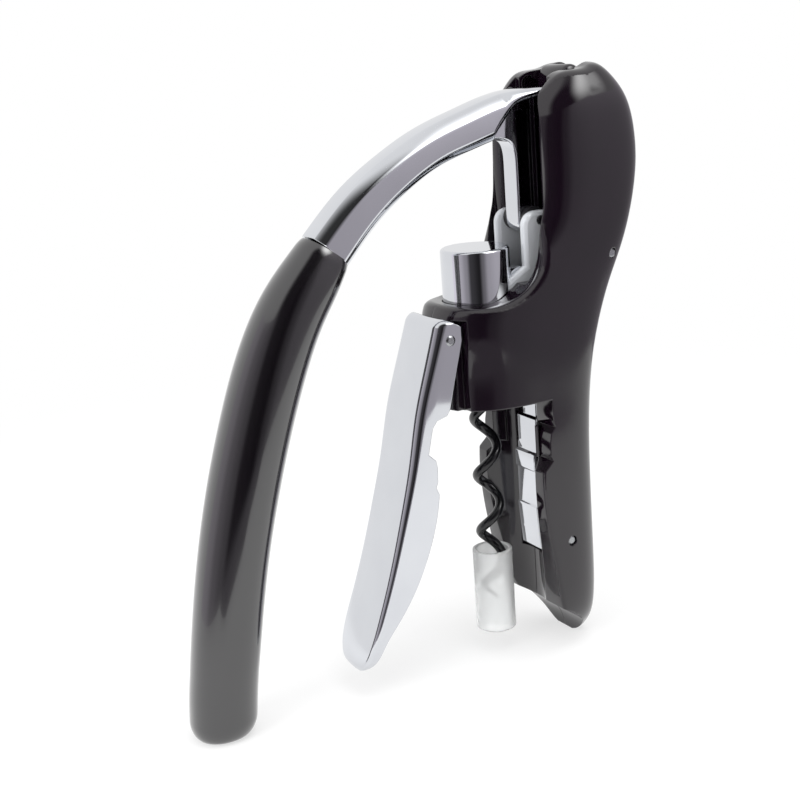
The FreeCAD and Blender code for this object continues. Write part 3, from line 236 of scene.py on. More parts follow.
@dataclass
class Finishes:
    """All finishes of the corkscrew, each made once."""

    # Injection-moulded ABS polished to a piano-black gloss: a sharp sheen over black with a plum cast.
    gloss_black: Finish = Finish("abs_gloss_moulded", "#120812", "#0b060c", (0.07, 0.11), Relief.MOULDED,
                                 1.6, 0.0006, specular=0.72, edge=0.45)
    # The same ABS on the grip, without cut edges: a long soft sheen.
    gloss_grip: Finish = Finish("abs_gloss_grip_moulded", "#0a060b", "#070508", (0.13, 0.18), Relief.MOULDED,
                                1.8, 0.0006, specular=1.0, coat=0.8)
    # Zinc casting with polished chrome plate: mirror-like, faintly hazed where the buff left it.
    chrome: Finish = Finish("chrome_plate_polished", "#d9dbdf", "#cfd1d6", (0.04, 0.09), Relief.POLISHED,
                            2.2, 0.0004, metallic=1.0, edge=0.25)
    # The same casting where it was only tumbled, not buffed: the plate over it spreads the light and
    # looks pale grey even between the dark plates.
    satin_chrome: Finish = Finish("chrome_plate_satin", "#d9dbdf", "#c9ccd1", (0.30, 0.38), Relief.POLISHED,
                                  0.8, 0.0015, metallic=0.35, edge=0.25)
    # Drawn steel rod, cut to length: fine lines and a duller sheen.
    pin_steel: Finish = Finish("steel_rod_drawn", "#b4b6b8", "#8f9194", (0.22, 0.34), Relief.DRAWN,
                               0.25, 0.002, metallic=1.0, edge=0.15)
    # Hardened steel with a baked non-stick coat: black, slightly pebbled, with a soft gloss.
    coated_steel: Finish = Finish("steel_nonstick_coated", "#0e0e11", "#09090b", (0.16, 0.24), Relief.COATED,
                                  0.35, 0.002, specular=0.5)
    # Extruded polyethylene tube: milky, letting the worm show through faintly.
    milky: Finish = Finish("polyethylene_tube_extruded", "#fbfcfc", "#f6f7f7", (0.07, 0.12), Relief.MOULDED,
                           0.9, 0.001, specular=0.25, transmission=0.64)
    # Moulded rubber: dull and dark, with a fine grain.
    rubber: Finish = Finish("rubber_pad_moulded", "#1b1a1c", "#141315", (0.55, 0.7), Relief.COATED, 0.3, 0.01)
    # Acetal bearing plastic: dark and waxy.
    acetal: Finish = Finish("acetal_moulded", "#1d1c1f", "#171618", (0.32, 0.42), Relief.MOULDED, 0.8, 0.002,
                            edge=0.2)
    # Turned brass of the nut: warm, with fine tool marks.
    brass: Finish = Finish("brass_turned", "#b5985a", "#a2854a", (0.2, 0.32), Relief.DRAWN, 0.2, 0.002,
                           metallic=1.0)
    made: dict[str, bpy.types.Material] = field(default_factory=dict)

    def of(self, finish: Finish) -> bpy.types.Material:
        """Give the material of a finish, making it at its first use.

        Args:
            finish: One of this class's finishes.

        Returns:
            The Blender material.
        """
        if finish.name not in self.made:
            self.made[finish.name] = finish.build()
        return self.made[finish.name]


@dataclass(frozen=True)
class Cubic:
    """Natural cubic spline of one or more values over a rising parameter."""

    knots: Array
    values: Array

    def bends(self) -> Array:
        """Second derivatives at the knots, from the usual three-term equations with straight ends."""
        count = len(self.knots)
        steps = np.diff(self.knots)
        slopes = np.diff(self.values, axis=0) / steps[:, None]
        table = np.eye(count)
        inner = np.arange(1, count - 1)
        table[inner, inner - 1], table[inner, inner], table[inner, inner + 1] = (
            steps[:-1], 2 * (steps[:-1] + steps[1:]), steps[1:])
        known = np.zeros_like(self.values)
        known[1:-1] = 6 * np.diff(slopes, axis=0)
        return np.linalg.solve(table, known)

    def at(self, where: Array) -> Array:
        """Evaluate the spline, each span blending its two ends' values and second derivatives.

        Args:
            where: Parameters, held to the range of the knots.

        Returns:
            One row of values for each parameter.
        """
        where = np.clip(where, self.knots[0], self.knots[-1])
        span = np.clip(np.searchsorted(self.knots, where) - 1, 0, len(self.knots) - 2)
        step = (self.knots[span + 1] - self.knots[span])[:, None]
        ahead = (where - self.knots[span])[:, None] / step
        behind = 1 - ahead
        bends = self.bends()
        bent = (behind ** 3 - behind) * bends[span] + (ahead ** 3 - ahead) * bends[span + 1]
        return behind * self.values[span] + ahead * self.values[span + 1] + bent * step ** 2 / 6


def curve_through(points: Array, count: int) -> Array:
    """Points on the smooth curve through some points, with the chord length as its parameter.

    Args:
        points: Rows of any number of values, of which the first two are the place.
        count: Number of points wanted, evenly spaced along the chords.

    Returns:
        The sampled rows.
    """
    points = np.asarray(points, float)
    chords = np.hypot(*np.diff(points[:, :2], axis=0).T)
    knots = np.concatenate(([0.0], np.cumsum(chords)))
    return Cubic(knots, points).at(np.linspace(0, knots[-1], count))


def unit(rows: Array) -> Array:
    """The same directions with a length of one."""
    return rows / np.maximum(np.linalg.norm(rows, axis=-1, keepdims=True), 1e-12)


def quarter(radius: float, steps: int) -> tuple[Array, Array]:
    """Distances from a corner's two sides to the quarter circle that rounds it."""
    turns = np.linspace(0, math.pi / 2, steps)
    return radius * (1 - np.sin(turns)), radius * (1 - np.cos(turns))


def helix(turn: Array, radius: float, rise: float) -> tuple[Array, Array]:
    """Directions out from the axis and along a helix about Z.

    Args:
        turn: Angles in radians.
        radius: Radius of the helix.
        rise: Its rise for each radian.

    Returns:
        Both directions for each angle.
    """
    zero = np.zeros_like(turn)
    return (np.column_stack((np.cos(turn), np.sin(turn), zero)),
            np.column_stack((-radius * np.sin(turn), radius * np.cos(turn), zero + rise)))


def soften(outline: Array, radius: float, steps: int = 4) -> Array:
    """Round the corners of closed outlines: each corner becomes a quadratic curve between its sides.

    Args:
        outline: Corners, as an array whose last two axes are the corner and its coordinates.
        radius: Longest stretch of a side that a rounded corner takes.
        steps: Points on each rounded corner.

    Returns:
        The outlines with steps points for each corner.
    """
    back = np.roll(outline, 1, axis=-2) - outline
    ahead = np.roll(outline, -1, axis=-2) - outline
    back_length = np.linalg.norm(back, axis=-1, keepdims=True) + 1e-9
    ahead_length = np.linalg.norm(ahead, axis=-1, keepdims=True) + 1e-9
    reach = np.minimum(radius, CORNER_SHARE * np.minimum(back_length, ahead_length))
    start = outline + back / back_length * reach
    end = outline + ahead / ahead_length * reach
    share = np.linspace(0, 1, steps)[:, None]
    curve = ((1 - share) ** 2 * start[..., None, :] + 2 * share * (1 - share) * outline[..., None, :]
             + share ** 2 * end[..., None, :])
    return curve.reshape(*outline.shape[:-2], -1, 2)


def inset(outline: Array, distance: float) -> Array:
    """Shrink a closed outline, moving each corner along the bisector of its sides.

    Args:
        outline: Corners in the plane, anticlockwise.
        distance: How far the sides move inwards.

    Returns:
        The smaller outline with the same number of corners.
    """
    side = np.roll(outline, -1, axis=0) - outline
    normal = np.column_stack((-side[:, 1], side[:, 0])) / (np.linalg.norm(side, axis=1, keepdims=True) + 1e-9)
    both = normal + np.roll(normal, 1, axis=0)
    both /= np.maximum((both ** 2).sum(axis=1, keepdims=True) / 2, MITRE_LEAST)
    return outline + both * distance


@dataclass
class Patch:
    """One closed surface: its points in millimetres, its four-sided faces and its flat end faces."""

    points: Array
    quads: Array
    ends: tuple[Array, ...] = ()

    def outward(self) -> "Patch":
        """The same surface with its faces turned outwards, judged by the sign of its volume."""
        triangles = [self.quads[:, (0, 1, 2)], self.quads[:, (0, 2, 3)]]
        for end in self.ends:
            triangles.append(np.column_stack((np.full(len(end) - 2, end[0]), end[1:-1], end[2:])))
        corners = self.points[np.vstack(triangles)]
        volume = np.einsum("ij,ij->i", corners[:, 0], np.cross(corners[:, 1], corners[:, 2])).sum()
        if volume >= 0:
            return self
        return Patch(self.points, self.quads[:, ::-1], tuple(end[::-1] for end in self.ends))


def weave(rows: int, columns: int, ring: bool, loop: bool = False) -> Array:
    """Faces of a grid of points, numbered row by row.

    Args:
        rows: Number of rows.
        columns: Number of columns.
        ring: Whether the last column joins the first.
        loop: Whether the last row joins the first.

    Returns:
        Four point numbers for each face.
    """
    row = np.arange(rows if loop else rows - 1)[:, None]
    column = np.arange(columns if ring else columns - 1)[None, :]
    after, beside = (row + 1) % rows, (column + 1) % columns
    return np.stack([row * columns + column, row * columns + beside, after * columns + beside,
                     after * columns + column], axis=-1).reshape(-1, 4)


def loft(rings: Array) -> Patch:
    """Closed surface through a stack of rings, with a flat face at each end.

    Args:
        rings: Array of rings by points by three coordinates.

    Returns:
        The surface.
    """
    count, around = rings.shape[:2]
    last = (count - 1) * around
    return Patch(rings.reshape(-1, 3), weave(count, around, True),
                 (np.arange(around), last + np.arange(around)[::-1])).outward()


def tube(path: Array, along: Array, out: Array, radius: Array, count: int) -> Patch:
    """Closed surface of circles square to a path.

    Args:
        path: Centre of each circle.
        along: Direction of the path there.
        out: Direction, square to the path, in which each circle starts.
        radius: Radius of each circle.
        count: Points on each circle.

    Returns:
        The surface.
    """
    along = unit(along)
    turn = np.linspace(0, 2 * math.pi, count, endpoint=False)[:, None]
    ring = out[:, None] * np.cos(turn) + np.cross(along, out)[:, None] * np.sin(turn)
    return loft(path[:, None] + ring * radius[:, None, None])


def lathe(profile: Array, around: int = 64, loop: bool = False, centre: Pair = (0, 0),
          crosswise: bool = False) -> Patch:
    """Surface turned about an axis: each profile point sweeps a circle of its radius at its height.

    Args:
        profile: Radius and height of each profile point.
        around: Points on each circle.
        loop: Whether the profile closes on itself, as a tube's does.
        centre: Place of the axis, as X and Y, or X and Z when the axis runs along Y.
        crosswise: Whether the axis runs along Y instead of Z.

    Returns:
        The closed surface.
    """
    turn = np.linspace(0, 2 * math.pi, around, endpoint=False)
    radius, height = np.asarray(profile, float).T[:, :, None]
    across, aside = radius * np.cos(turn) + centre[0], radius * np.sin(turn) + centre[1]
    along = np.broadcast_to(height, across.shape)
    order = (across, along, aside) if crosswise else (across, aside, along)
    rings = np.stack(order, axis=-1)
    if loop:
        return Patch(rings.reshape(-1, 3), weave(len(rings), around, True, True)).outward()
    return loft(rings)


def plate(outline: Array, y_low: float, y_high: float, edge: float) -> Patch:
    """Flat plate across Y with rounded edges, whose rings shrink on a quarter circle at each face.

    Args:
        outline: X and Z of the corners, in order.
        y_low: Near face.
        y_high: Far face.
        edge: Radius of the rounded edges.

    Returns:
        The closed surface.
    """
    x, z = outline.T
    if (x * np.roll(z, -1) - np.roll(x, -1) * z).sum() < 0:
        outline = outline[::-1]
    insets, rises = quarter(edge, 5)
    sizes = np.concatenate((insets, insets[::-1]))
    heights = np.concatenate((y_low + rises, y_high - rises[::-1]))
    rings = np.empty((len(sizes), len(outline), 3))
    for index, (size, height) in enumerate(zip(sizes, heights)):
        ring = inset(outline, size)
        rings[index] = np.column_stack((ring[:, 0], np.full(len(ring), height), ring[:, 1]))
    return loft(rings)


def pin_profile(radius: float, low: float, high: float, bevel: float) -> Array:
    """Radius and height points of a plain pin, whose bevels end in a faint rounding to the flat ends."""
    face, lip, step = radius - 1.6 * bevel, radius - bevel, 0.15 * bevel
    return np.array(((face, low), (lip, low + step), (radius, low + bevel),
                     (radius, high - bevel), (lip, high - step), (face, high)))


@dataclass
class Workshop:
    """Makes pieces from surfaces and dresses the carried-over nodes."""

    finishes: Finishes = field(default_factory=Finishes)

    def piece(self, name: str, shape: list[Patch] | bpy.types.Mesh, finish: Finish, body: str, slot: str,
              nodes: tuple[str, ...] = (), sharp: float = 38.0) -> bpy.types.Object:
        """Make one piece, smooth but for its sharp edges, and hide the nodes that it stands for.

        Args:
            name: Name of the piece.
            shape: Its closed surfaces, or its mesh in metres.
            finish: Its finish.
            body: Body that it moves with.
            slot: Material slot of the record; not used.
            nodes: Nodes that it stands for.
            sharp: Angle in degrees past which an edge stays sharp.

        Returns:
            The new object.
        """
        mesh = self.join(name, shape) if isinstance(shape, list) else shape
        mesh.update()
        mesh.shade_smooth()
        mesh.set_sharp_from_angle(angle=math.radians(sharp))
        mesh.materials.append(self.finishes.of(finish))
        made = bpy.data.objects.new(name, mesh)
        bpy.context.scene.collection.objects.link(made)
        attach(made, body)
        if nodes:
            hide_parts(*nodes)
        mesh.calc_loop_triangles()
        LOG.info("%s: %d triangles on %s", name, len(mesh.loop_triangles), body)
        return made

    def join(self, name: str, patches: list[Patch]) -> bpy.types.Mesh:
        """Put closed surfaces into one mesh.

        Args:
            name: Name of the mesh.
            patches: The surfaces, in millimetres.

        Returns:
            The mesh, in metres.
        """
        starts = np.cumsum([0] + [len(patch.points) for patch in patches])
        points = np.vstack([patch.points for patch in patches]) * MM
        faces: list[list[int]] = []
        for start, patch in zip(starts, patches):
            faces += (patch.quads + start).tolist()
            faces += [(end + start).tolist() for end in patch.ends]
        mesh = bpy.data.meshes.new(name)
        mesh.from_pydata(points.tolist(), [], faces)
        return mesh

    def dress(self, finish: Finish, *nodes: str) -> None:
        """Give carried-over nodes their material.

        Args:
            finish: Their finish.
            nodes: Names of the nodes.
        """
        for node in nodes:
            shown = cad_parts[node]
            shown.data.materials.clear()
            shown.data.materials.append(self.finishes.of(finish))
            LOG.info("%s: dressed", node)

    def welded(self, node: str) -> tuple[Array, Array]:
        """Points and triangles of a node, with points closer than a micrometre joined.

        Args:
            node: Name of the node.

        Returns:
            The points in millimetres, and three point numbers for each triangle.
        """
        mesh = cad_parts[node].data
        points = np.empty(len(mesh.vertices) * 3, np.float32)
        mesh.vertices.foreach_get("co", points)
        corners = np.empty(len(mesh.loops), np.int32)
        mesh.loops.foreach_get("vertex_index", corners)
        points = points.reshape(-1, 3).astype(float) / MM
        _, first, joined = np.unique(np.round(points, 3), axis=0, return_index=True, return_inverse=True)
        triangles = joined.ravel()[corners].reshape(-1, 3)
        whole = (np.diff(np.sort(triangles, axis=1), axis=1) > 0).all(axis=1)
        return points[first], triangles[whole]


@dataclass(frozen=True)
class BodyForm:
    """The body's outer form: at each height an oval that is blunt in front and fuller behind.

    Attributes:
        stations: Height, front, back and half width of each oval.
        front_power: Power of the oval's front half.
        back_power: Power of the oval's back half.
    """

    stations: Rows = (
        (-78.0, -14.8, 28.75, 4.732), (-76.83, -14.8, 29.4, 7.826), (-74.88, -14.8, 29.8, 10.556),
        (-72.54, -14.8, 30.0, 12.922), (-69.03, -14.8, 30.1, 15.379), (-64.74, -14.8, 30.1, 16.926),
        (-60.06, -14.8, 30.1, 17.654), (-39.78, -14.8, 30.1, 18.0), (-20.28, -14.8, 30.4, 17.599),
        (0.0, -14.8, 31.9, 16.999), (14.1, -14.8, 34.4, 17.199), (28.2, -14.8, 39.25, 17.508),
        (37.6, -4.0, 43.2, 17.709), (47.0, 8.0, 46.4, 18.0), (56.4, 11.8, 48.75, 18.2),
        (67.68, 12.5, 50.0, 18.2), (77.08, 13.1, 49.0, 17.836), (84.6, 15.9, 46.1, 16.562),
        (89.3, 19.5, 42.5, 14.56), (92.12, 22.5, 39.0, 12.558), (94.0, 26.5, 34.5, 10.192))
    front_power: float = 2.5
    back_power: float = 3.4

    def value(self, points: Array) -> Array:
        """One less than the sum of the two shares of the oval, each raised to the oval's power."""
        table = np.array(self.stations)
        front, back, width = Cubic(table[:, 0], table[:, 1:]).at(points[:, 2]).T
        along = (2 * points[:, 0] - front - back) / (back - front)
        power = np.where(along > 0, self.back_power, self.front_power)
        return np.abs(along) ** power + np.abs(points[:, 1] / width) ** power - 1

    def slope(self, points: Array, step: float = 0.02) -> Array:
        """Gradient of the value, by differences over a short step each way.

        Args:
            points: Places in millimetres.
            step: Half the span of each difference.

        Returns:
            Three components for each place.
        """
        moves = np.eye(3) * step
        return np.column_stack([(self.value(points + move) - self.value(points - move)) / (2 * step)
                                for move in moves])


@dataclass
class Body:
    """The gloss black body: two halves, their pins, the mouth seat, the nut and the pads."""

    shop: Workshop
    form: BodyForm = BodyForm()
    skin_depth: float = 0.25
    skin_cosine: float = 0.97
    clamp_pin_proud: float = 0.4
    seat_profile: Rows = (
        (5.9, 0.0), (12.6, 0.0), (13.0, 0.4), (13.0, 2.2), (12.7, 2.5), (6.0, 2.5), (5.6, 2.1), (5.6, 0.3))

    def half(self, side: str) -> None:
        """Copy one half of the shell and smooth its outer skin with the form's own normals.

        Args:
            side: near or far.
        """
        node = f"body_half_{side}"
        points, triangles = self.shop.welded(node)
        corners = points[triangles]
        flat = unit(np.cross(corners[:, 1] - corners[:, 0], corners[:, 2] - corners[:, 0]))
        slope = self.form.slope(points)
        off = np.abs(self.form.value(points)) / (np.linalg.norm(slope, axis=1) + 1e-9)
        outward = unit(slope)[triangles]
        close = (off[triangles] < self.skin_depth).all(axis=1)
        skin = close & (np.einsum("ij,ikj->ik", flat, outward) > self.skin_cosine).all(axis=1)
        mesh = bpy.data.meshes.new(f"shell_{side}")
        mesh.from_pydata((points * MM).tolist(), [], triangles.tolist())
        self.shop.piece(f"shell_{side}", mesh, self.shop.finishes.gloss_black, "body", "body_plastic",
                        (node,), 28.0)
        wanted = np.where(skin[:, None, None], outward, 0.0).reshape(-1, 3)
        mesh.normals_split_custom_set(wanted.tolist())

    def pin(self, node: str, proud: float = 0.0) -> None:
        """Turn one cross pin with bevelled ends, in the place of its node.

        Args:
            node: Name of the pin's node.
            proud: How far its ends stand out past the node's.
        """
        low, high = (np.array(corner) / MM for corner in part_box(node))
        profile = pin_profile(PIN_RADIUS, low[1] - proud, high[1] + proud, PIN_BEVEL)
        centre = ((low[0] + high[0]) / 2, (low[2] + high[2]) / 2)
        self.shop.piece(node.replace("pin", "rod"), [lathe(profile, 40, False, centre, True)],
                        self.shop.finishes.pin_steel, "body", "pin_steel", (node,))

    def build(self) -> None:
        """Make every piece that stays with the body."""
        finishes = self.shop.finishes
        for side in ("near", "far"):
            self.half(side)
            self.shop.dress(finishes.gloss_black, f"neck_pad_{side}")
        self.pin("upper_tie_pin")
        self.pin("lower_tie_pin")
        self.pin("clamp_hinge_pin", self.clamp_pin_proud)
        seat = lathe(np.array(self.seat_profile), 96, True)
        self.shop.piece("mouth_ring", [seat], finishes.acetal, "body", "seat_plastic", ("mouth_seat",))
        self.shop.dress(finishes.brass, "worm_nut")
        self.shop.dress(finishes.pin_steel, "nut_screw_front", "nut_screw_back")


@dataclass
class Crosshead:
    """The round chrome carriage with its two eared rails, and the pins and runners in it."""

    shop: Workshop
    radius: float = 9.85
    low: float = 9.8
    top: float = 44.5
    edge: float = 0.9
    bore_radius: float = 7.0
    bore_top: float = 25.4
    mouth_bevel: float = 0.3
    rail_inner: float = 5.3
    rail_outer: float = 8.2
    rail_edge: float = 1.35
    rail_front: float = 11.6
    rail_back: float = 22.1
    rail_low: float = 6.0
    ear_radius: float = 4.0
    ear_height: float = 49.2
    web_front: float = 4.3
    web_low: float = 30.0
    web_step: float = 34.0
    web_top: float = 38.0
    web_lap: float = 0.6
    clevis_reach: float = 8.4

    def barrel(self) -> Patch:
        """The turned barrel: a flat top, a rounded edge, a straight wall and the bore below."""
        across, down = quarter(self.edge, 8)
        crown = np.column_stack((self.radius - across, self.top - down))
        outer, inner = self.mouth_bevel, self.mouth_bevel * 2 / 3
        wall = np.array(((self.radius, self.low + outer), (self.radius - outer, self.low),
                         (self.bore_radius + inner, self.low), (self.bore_radius, self.low + inner),
                         (self.bore_radius, self.bore_top)))
        return lathe(np.vstack((crown, wall)), 128)

    def rail(self, side: int) -> Patch:
        """One rail with its rounded ear, as a plate from its outline.

        Args:
            side: -1 for the near rail, 1 for the far one.

        Returns:
            The plate.
        """
        turns = np.linspace(0, math.pi / 2, 8)
        arc = self.ear_radius * np.column_stack((np.cos(turns), np.sin(turns)))
        back = np.array((self.rail_back - self.ear_radius, self.ear_height)) + arc
        front = np.array((self.rail_front + self.ear_radius, self.ear_height)) + arc[::-1] * (-1, 1)
        low = np.array(((self.rail_front, self.web_top), (self.web_front, self.web_step),
                        (self.web_front, self.low), (self.radius, self.low), (self.radius, self.rail_low),
                        (self.rail_back, self.rail_low)))
        outline = np.vstack((back, front, low))
        y_low, y_high = sorted((side * self.rail_inner, side * self.rail_outer))
        return plate(outline, y_low, y_high, self.rail_edge)

    def build(self) -> None:
        """Make the carriage and dress what it carries."""
        finishes = self.shop.finishes
        web = np.array(((self.web_front, self.web_low), (self.rail_front, self.web_low),
                        (self.rail_front, self.web_top), (self.web_front, self.web_top)))
        half = self.rail_inner + self.web_lap
        self.shop.piece("carriage_block", [self.barrel(), plate(web, -half, half, self.mouth_bevel)],
                        finishes.chrome, "crosshead", "chrome", ("carriage",))
        self.shop.piece("carriage_rails", [self.rail(-1), self.rail(1)], finishes.satin_chrome, "crosshead",
                        "chrome")
        profile = pin_profile(PIN_RADIUS, -self.clevis_reach, self.clevis_reach, PIN_BEVEL)
        self.shop.piece("clevis_rod", [lathe(profile, 40, False, tuple(CLEVIS), True)], finishes.pin_steel,
                        "crosshead", "pin_steel", ("clevis_pin",))
        self.shop.dress(finishes.acetal, "runner_near", "runner_far")
        self.shop.dress(finishes.pin_steel, "hub_ring")


@dataclass
class Worm:
    """The coated worm, its head, the hub round it and the sleeve on its point."""

    shop: Workshop
    line_radius: float = 3.1
    wire_radius: float = 1.4
    point_radius: float = 0.3
    pitch: float = 17.4
    tip: float = -63.0
    top: float = 12.4
    phase_height: float = -5.7
    phase_angle: float = 150.4
    point_turn: float = 200.0
    point_power: float = 0.8
    head_radius: float = 4.4
    head_low: float = 11.0
    head_high: float = 26.0
    head_bevel: float = 0.4
    sleeve_inner: float = 4.65
    sleeve_outer: float = 5.95
    sleeve_low: float = -71.0
    sleeve_high: float = -46.0
    sleeve_lip: float = 0.35

    def coil(self) -> Patch:
        """The wire: circles square to a right-handed helix, shrinking over the last part turn to a point."""
        height = np.linspace(self.tip, self.top, 260)
        turn = np.radians(self.phase_angle + 360 * (height - self.phase_height) / self.pitch)
        out, along = helix(turn, self.line_radius, self.pitch / (2 * math.pi))
        taper = np.clip((height - self.tip) / (self.pitch * self.point_turn / 360), 0, 1) ** self.point_power
        wire = self.point_radius + (self.wire_radius - self.point_radius) * taper
        return tube(np.column_stack((self.line_radius * out[:, :2], height)), along, out, wire, 28)

    def sleeve(self) -> Patch:
        """The tube: a closed profile with half-round lips at both ends."""
        turns = np.linspace(0, math.pi, 9)
        middle = (self.sleeve_outer + self.sleeve_inner) / 2
        across = np.cos(turns) * (self.sleeve_outer - self.sleeve_inner) / 2
        lip = self.sleeve_lip * (1 - np.sin(turns))
        top = np.column_stack((middle + across, self.sleeve_high - lip))
        low = np.column_stack((middle - across, self.sleeve_low + lip))
        return lathe(np.vstack((top, low)), 96, True)

    def build(self) -> None:
        """Make the worm and its sleeve and dress the hub."""
        finishes = self.shop.finishes
        head = lathe(pin_profile(self.head_radius, self.head_low, self.head_high, self.head_bevel), 48)
        self.shop.piece("worm_wire", [self.coil(), head], finishes.coated_steel, "screw", "worm_coating",
                        ("worm",))
        self.shop.piece("worm_sleeve", [self.sleeve()], finishes.milky, "sleeve", "sleeve_plastic",
                        ("tip_sleeve",))
        self.shop.dress(finishes.pin_steel, "worm_hub")
        self.shop.dress(finishes.acetal, "hub_washer")


@dataclass
class Lever:
    """The swing-over lever: arched chrome arm with its head plate, black grip and heel cap."""

    shop: Workshop
    arm_reach: float = 64.0
    arm_depth: float = 12.0
    arm_half_width: float = 6.0
    arm_chamfer: float = 2.6
    arm_chamfer_share: float = 0.36
    arm_crown: float = 0.5
    arm_corner: float = 0.9
    arm_least: float = 0.8
    scoop_near: float = 0.4
    track_arm: float = 24.5
    head_half: float = 3.3
    head_edge: float = 0.55
    foot_radius: float = 4.0
    lug_corner: float = 0.6
    lug_edge: float = 0.4
    grip_reach: float = 108.0
    grip_drop: float = 128.5
    grip_half_depth: float = 9.6
    grip_half_width: float = 9.2
    grip_power: float = 2.15
    grip_level: float = -60.0
    grip_level_span: float = 12.0
    grip_foot: float = 5.5
    grip_foot_share: float = 0.36
    grip_lip_share: float = 0.05
    heel_half: float = 6.3
    heel_edge: float = 1.4
    arm_shares: Rows = (
        (-1.002, -0.011, 1.060), (-0.827, 0.158, 1.000), (-0.650, 0.278, 0.930), (-0.470, 0.367, 0.900),
        (-0.289, 0.422, 0.920), (-0.135, 0.462, 0.940), (0.010, 0.478, 0.950), (0.155, 0.474, 0.950))
    scoop_shares: Rows = (
        (-0.520, 0.860), (-0.455, 0.960), (-0.370, 1.070), (-0.275, 1.180), (-0.215, 1.270),
        (-0.130, 1.335), (0.070, 1.385), (0.250, 1.415), (0.480, 1.425))
    throat_shares: Rows = (
        (-0.163, 0.633), (-0.175, 0.790), (-0.215, 0.885), (-0.310, 0.937), (-0.490, 0.958))
    top_shares: Rows = (
        (-0.490, 1.320), (-0.163, 1.400), (0.100, 1.435), (0.400, 1.445), (0.610, 1.390))
    back_shares: Rows = (
        (0.610, 1.390), (0.660, 1.150), (0.620, 0.860), (0.440, 0.500), (0.230, 0.180))
    lug_shares: Rows = (
        (0.470, 1.250), (0.500, 1.560), (0.680, 1.560), (0.660, 1.150))
    heel_shares: Rows = (
        (0.420, 1.330), (0.450, 1.560), (0.520, 1.690), (0.630, 1.705), (0.740, 1.590), (0.780, 1.400))
    grip_shares: Rows = (
        (-0.594, -0.005, 0.760), (-0.640, -0.055, 0.870), (-0.692, -0.111, 0.940), (-0.768, -0.227, 1.000),
        (-0.824, -0.346, 1.010), (-0.872, -0.468, 1.010), (-0.913, -0.593, 1.000), (-0.946, -0.720, 0.990),
        (-0.974, -0.852, 0.980), (-0.986, -0.918, 0.975), (-0.992, -0.965, 0.965), (-0.997, -1.000, 0.955))

    def arm(self) -> Patch:
        """The arched arm: an eight-sided crowned section carried along the arch.

        The section hangs from the arch's upper line. Beside the head its depth is what is left above
        the scoop, found where the section's own line meets the scoop's curve.
        """
        size = (self.arm_reach, self.arm_reach, self.arm_depth)
        centre, full, along = self.line(self.arm_shares, size, 240)
        normal = np.column_stack((-along[:, 1], along[:, 0]))
        upper = centre + normal * full[:, None] / 2
        scoop = curve_through(np.array(self.scoop_shares) * self.track_arm, 200) + CLEVIS
        ahead = (scoop[None] - upper[:, None]) @ along[:, :, None]
        down = -((scoop[None] - upper[:, None]) @ normal[:, :, None])
        nearest = np.abs(ahead[..., 0]).argmin(axis=1)
        rows = np.arange(len(upper))
        met = np.abs(ahead[rows, nearest, 0]) < self.scoop_near
        depth = np.where(met, np.minimum(full, down[rows, nearest, 0]), full)
        depth = np.maximum(depth, self.arm_least)
        width = self.arm_half_width
        cut = np.minimum(self.arm_chamfer, self.arm_chamfer_share * depth)
        flat = width - cut
        top = flat[:, None] * np.linspace(-1, 1, 9)
        top = np.stack((top, np.zeros_like(top)), axis=-1)
        zero = np.zeros_like(cut)
        sides = np.stack([np.stack(pair, axis=-1) for pair in (
            (zero + width, -cut), (zero + width, cut - depth), (flat, -depth), (-flat, -depth),
            (zero - width, cut - depth), (zero - width, -cut))], axis=1)
        ring = soften(np.concatenate((top, sides), axis=1), self.arm_corner)
        lift = self.arm_crown * (1 - (ring[..., 0] / width) ** 2) * (1 + ring[..., 1] / depth[:, None])
        height = ring[..., 1] + lift - self.arm_crown * 0.5
        place = upper[:, None] + normal[:, None] * height[..., None]
        return loft(np.stack((place[..., 0], ring[..., 0], place[..., 1]), axis=-1))

    def line(self, shares: Rows, size: tuple[float, ...], count: int) -> tuple[Array, Array, Array]:
        """Lay a smooth line from the clevis.

        Args:
            shares: X, Z and thickness as shares of the size.
            size: The three lengths in millimetres.
            count: Number of points wanted.

        Returns:
            Places, thicknesses and directions along the line.
        """
        path = curve_through(np.array(shares) * size, count)
        centre = path[:, :2] + CLEVIS
        return centre, path[:, 2], unit(np.gradient(centre, axis=0))

    def from_clevis(self, shares: Rows, count: int = 0) -> Array:
        """Places from shares of the head's size, smoothed into count points where count is given."""
        points = np.array(shares) * self.track_arm
        return (curve_through(points, count) if count else points) + CLEVIS

    def head(self) -> list[Patch]:
        """The thin head plate from the throat to the clevis, and the lug for the heel cap."""
        turns = np.linspace(0, math.pi, 16)
        foot = CLEVIS + self.foot_radius * np.column_stack((np.cos(turns), -np.sin(turns)))
        throat, top, back = (self.from_clevis(shares, 24)
                             for shares in (self.throat_shares, self.top_shares, self.back_shares))
        outline = np.vstack((foot, throat, top, back[1:]))
        lug = soften(self.from_clevis(self.lug_shares), self.lug_corner)
        return [plate(outline, -self.head_half, self.head_half, self.head_edge),
                plate(lug, -self.head_half, self.head_half, self.lug_edge)]

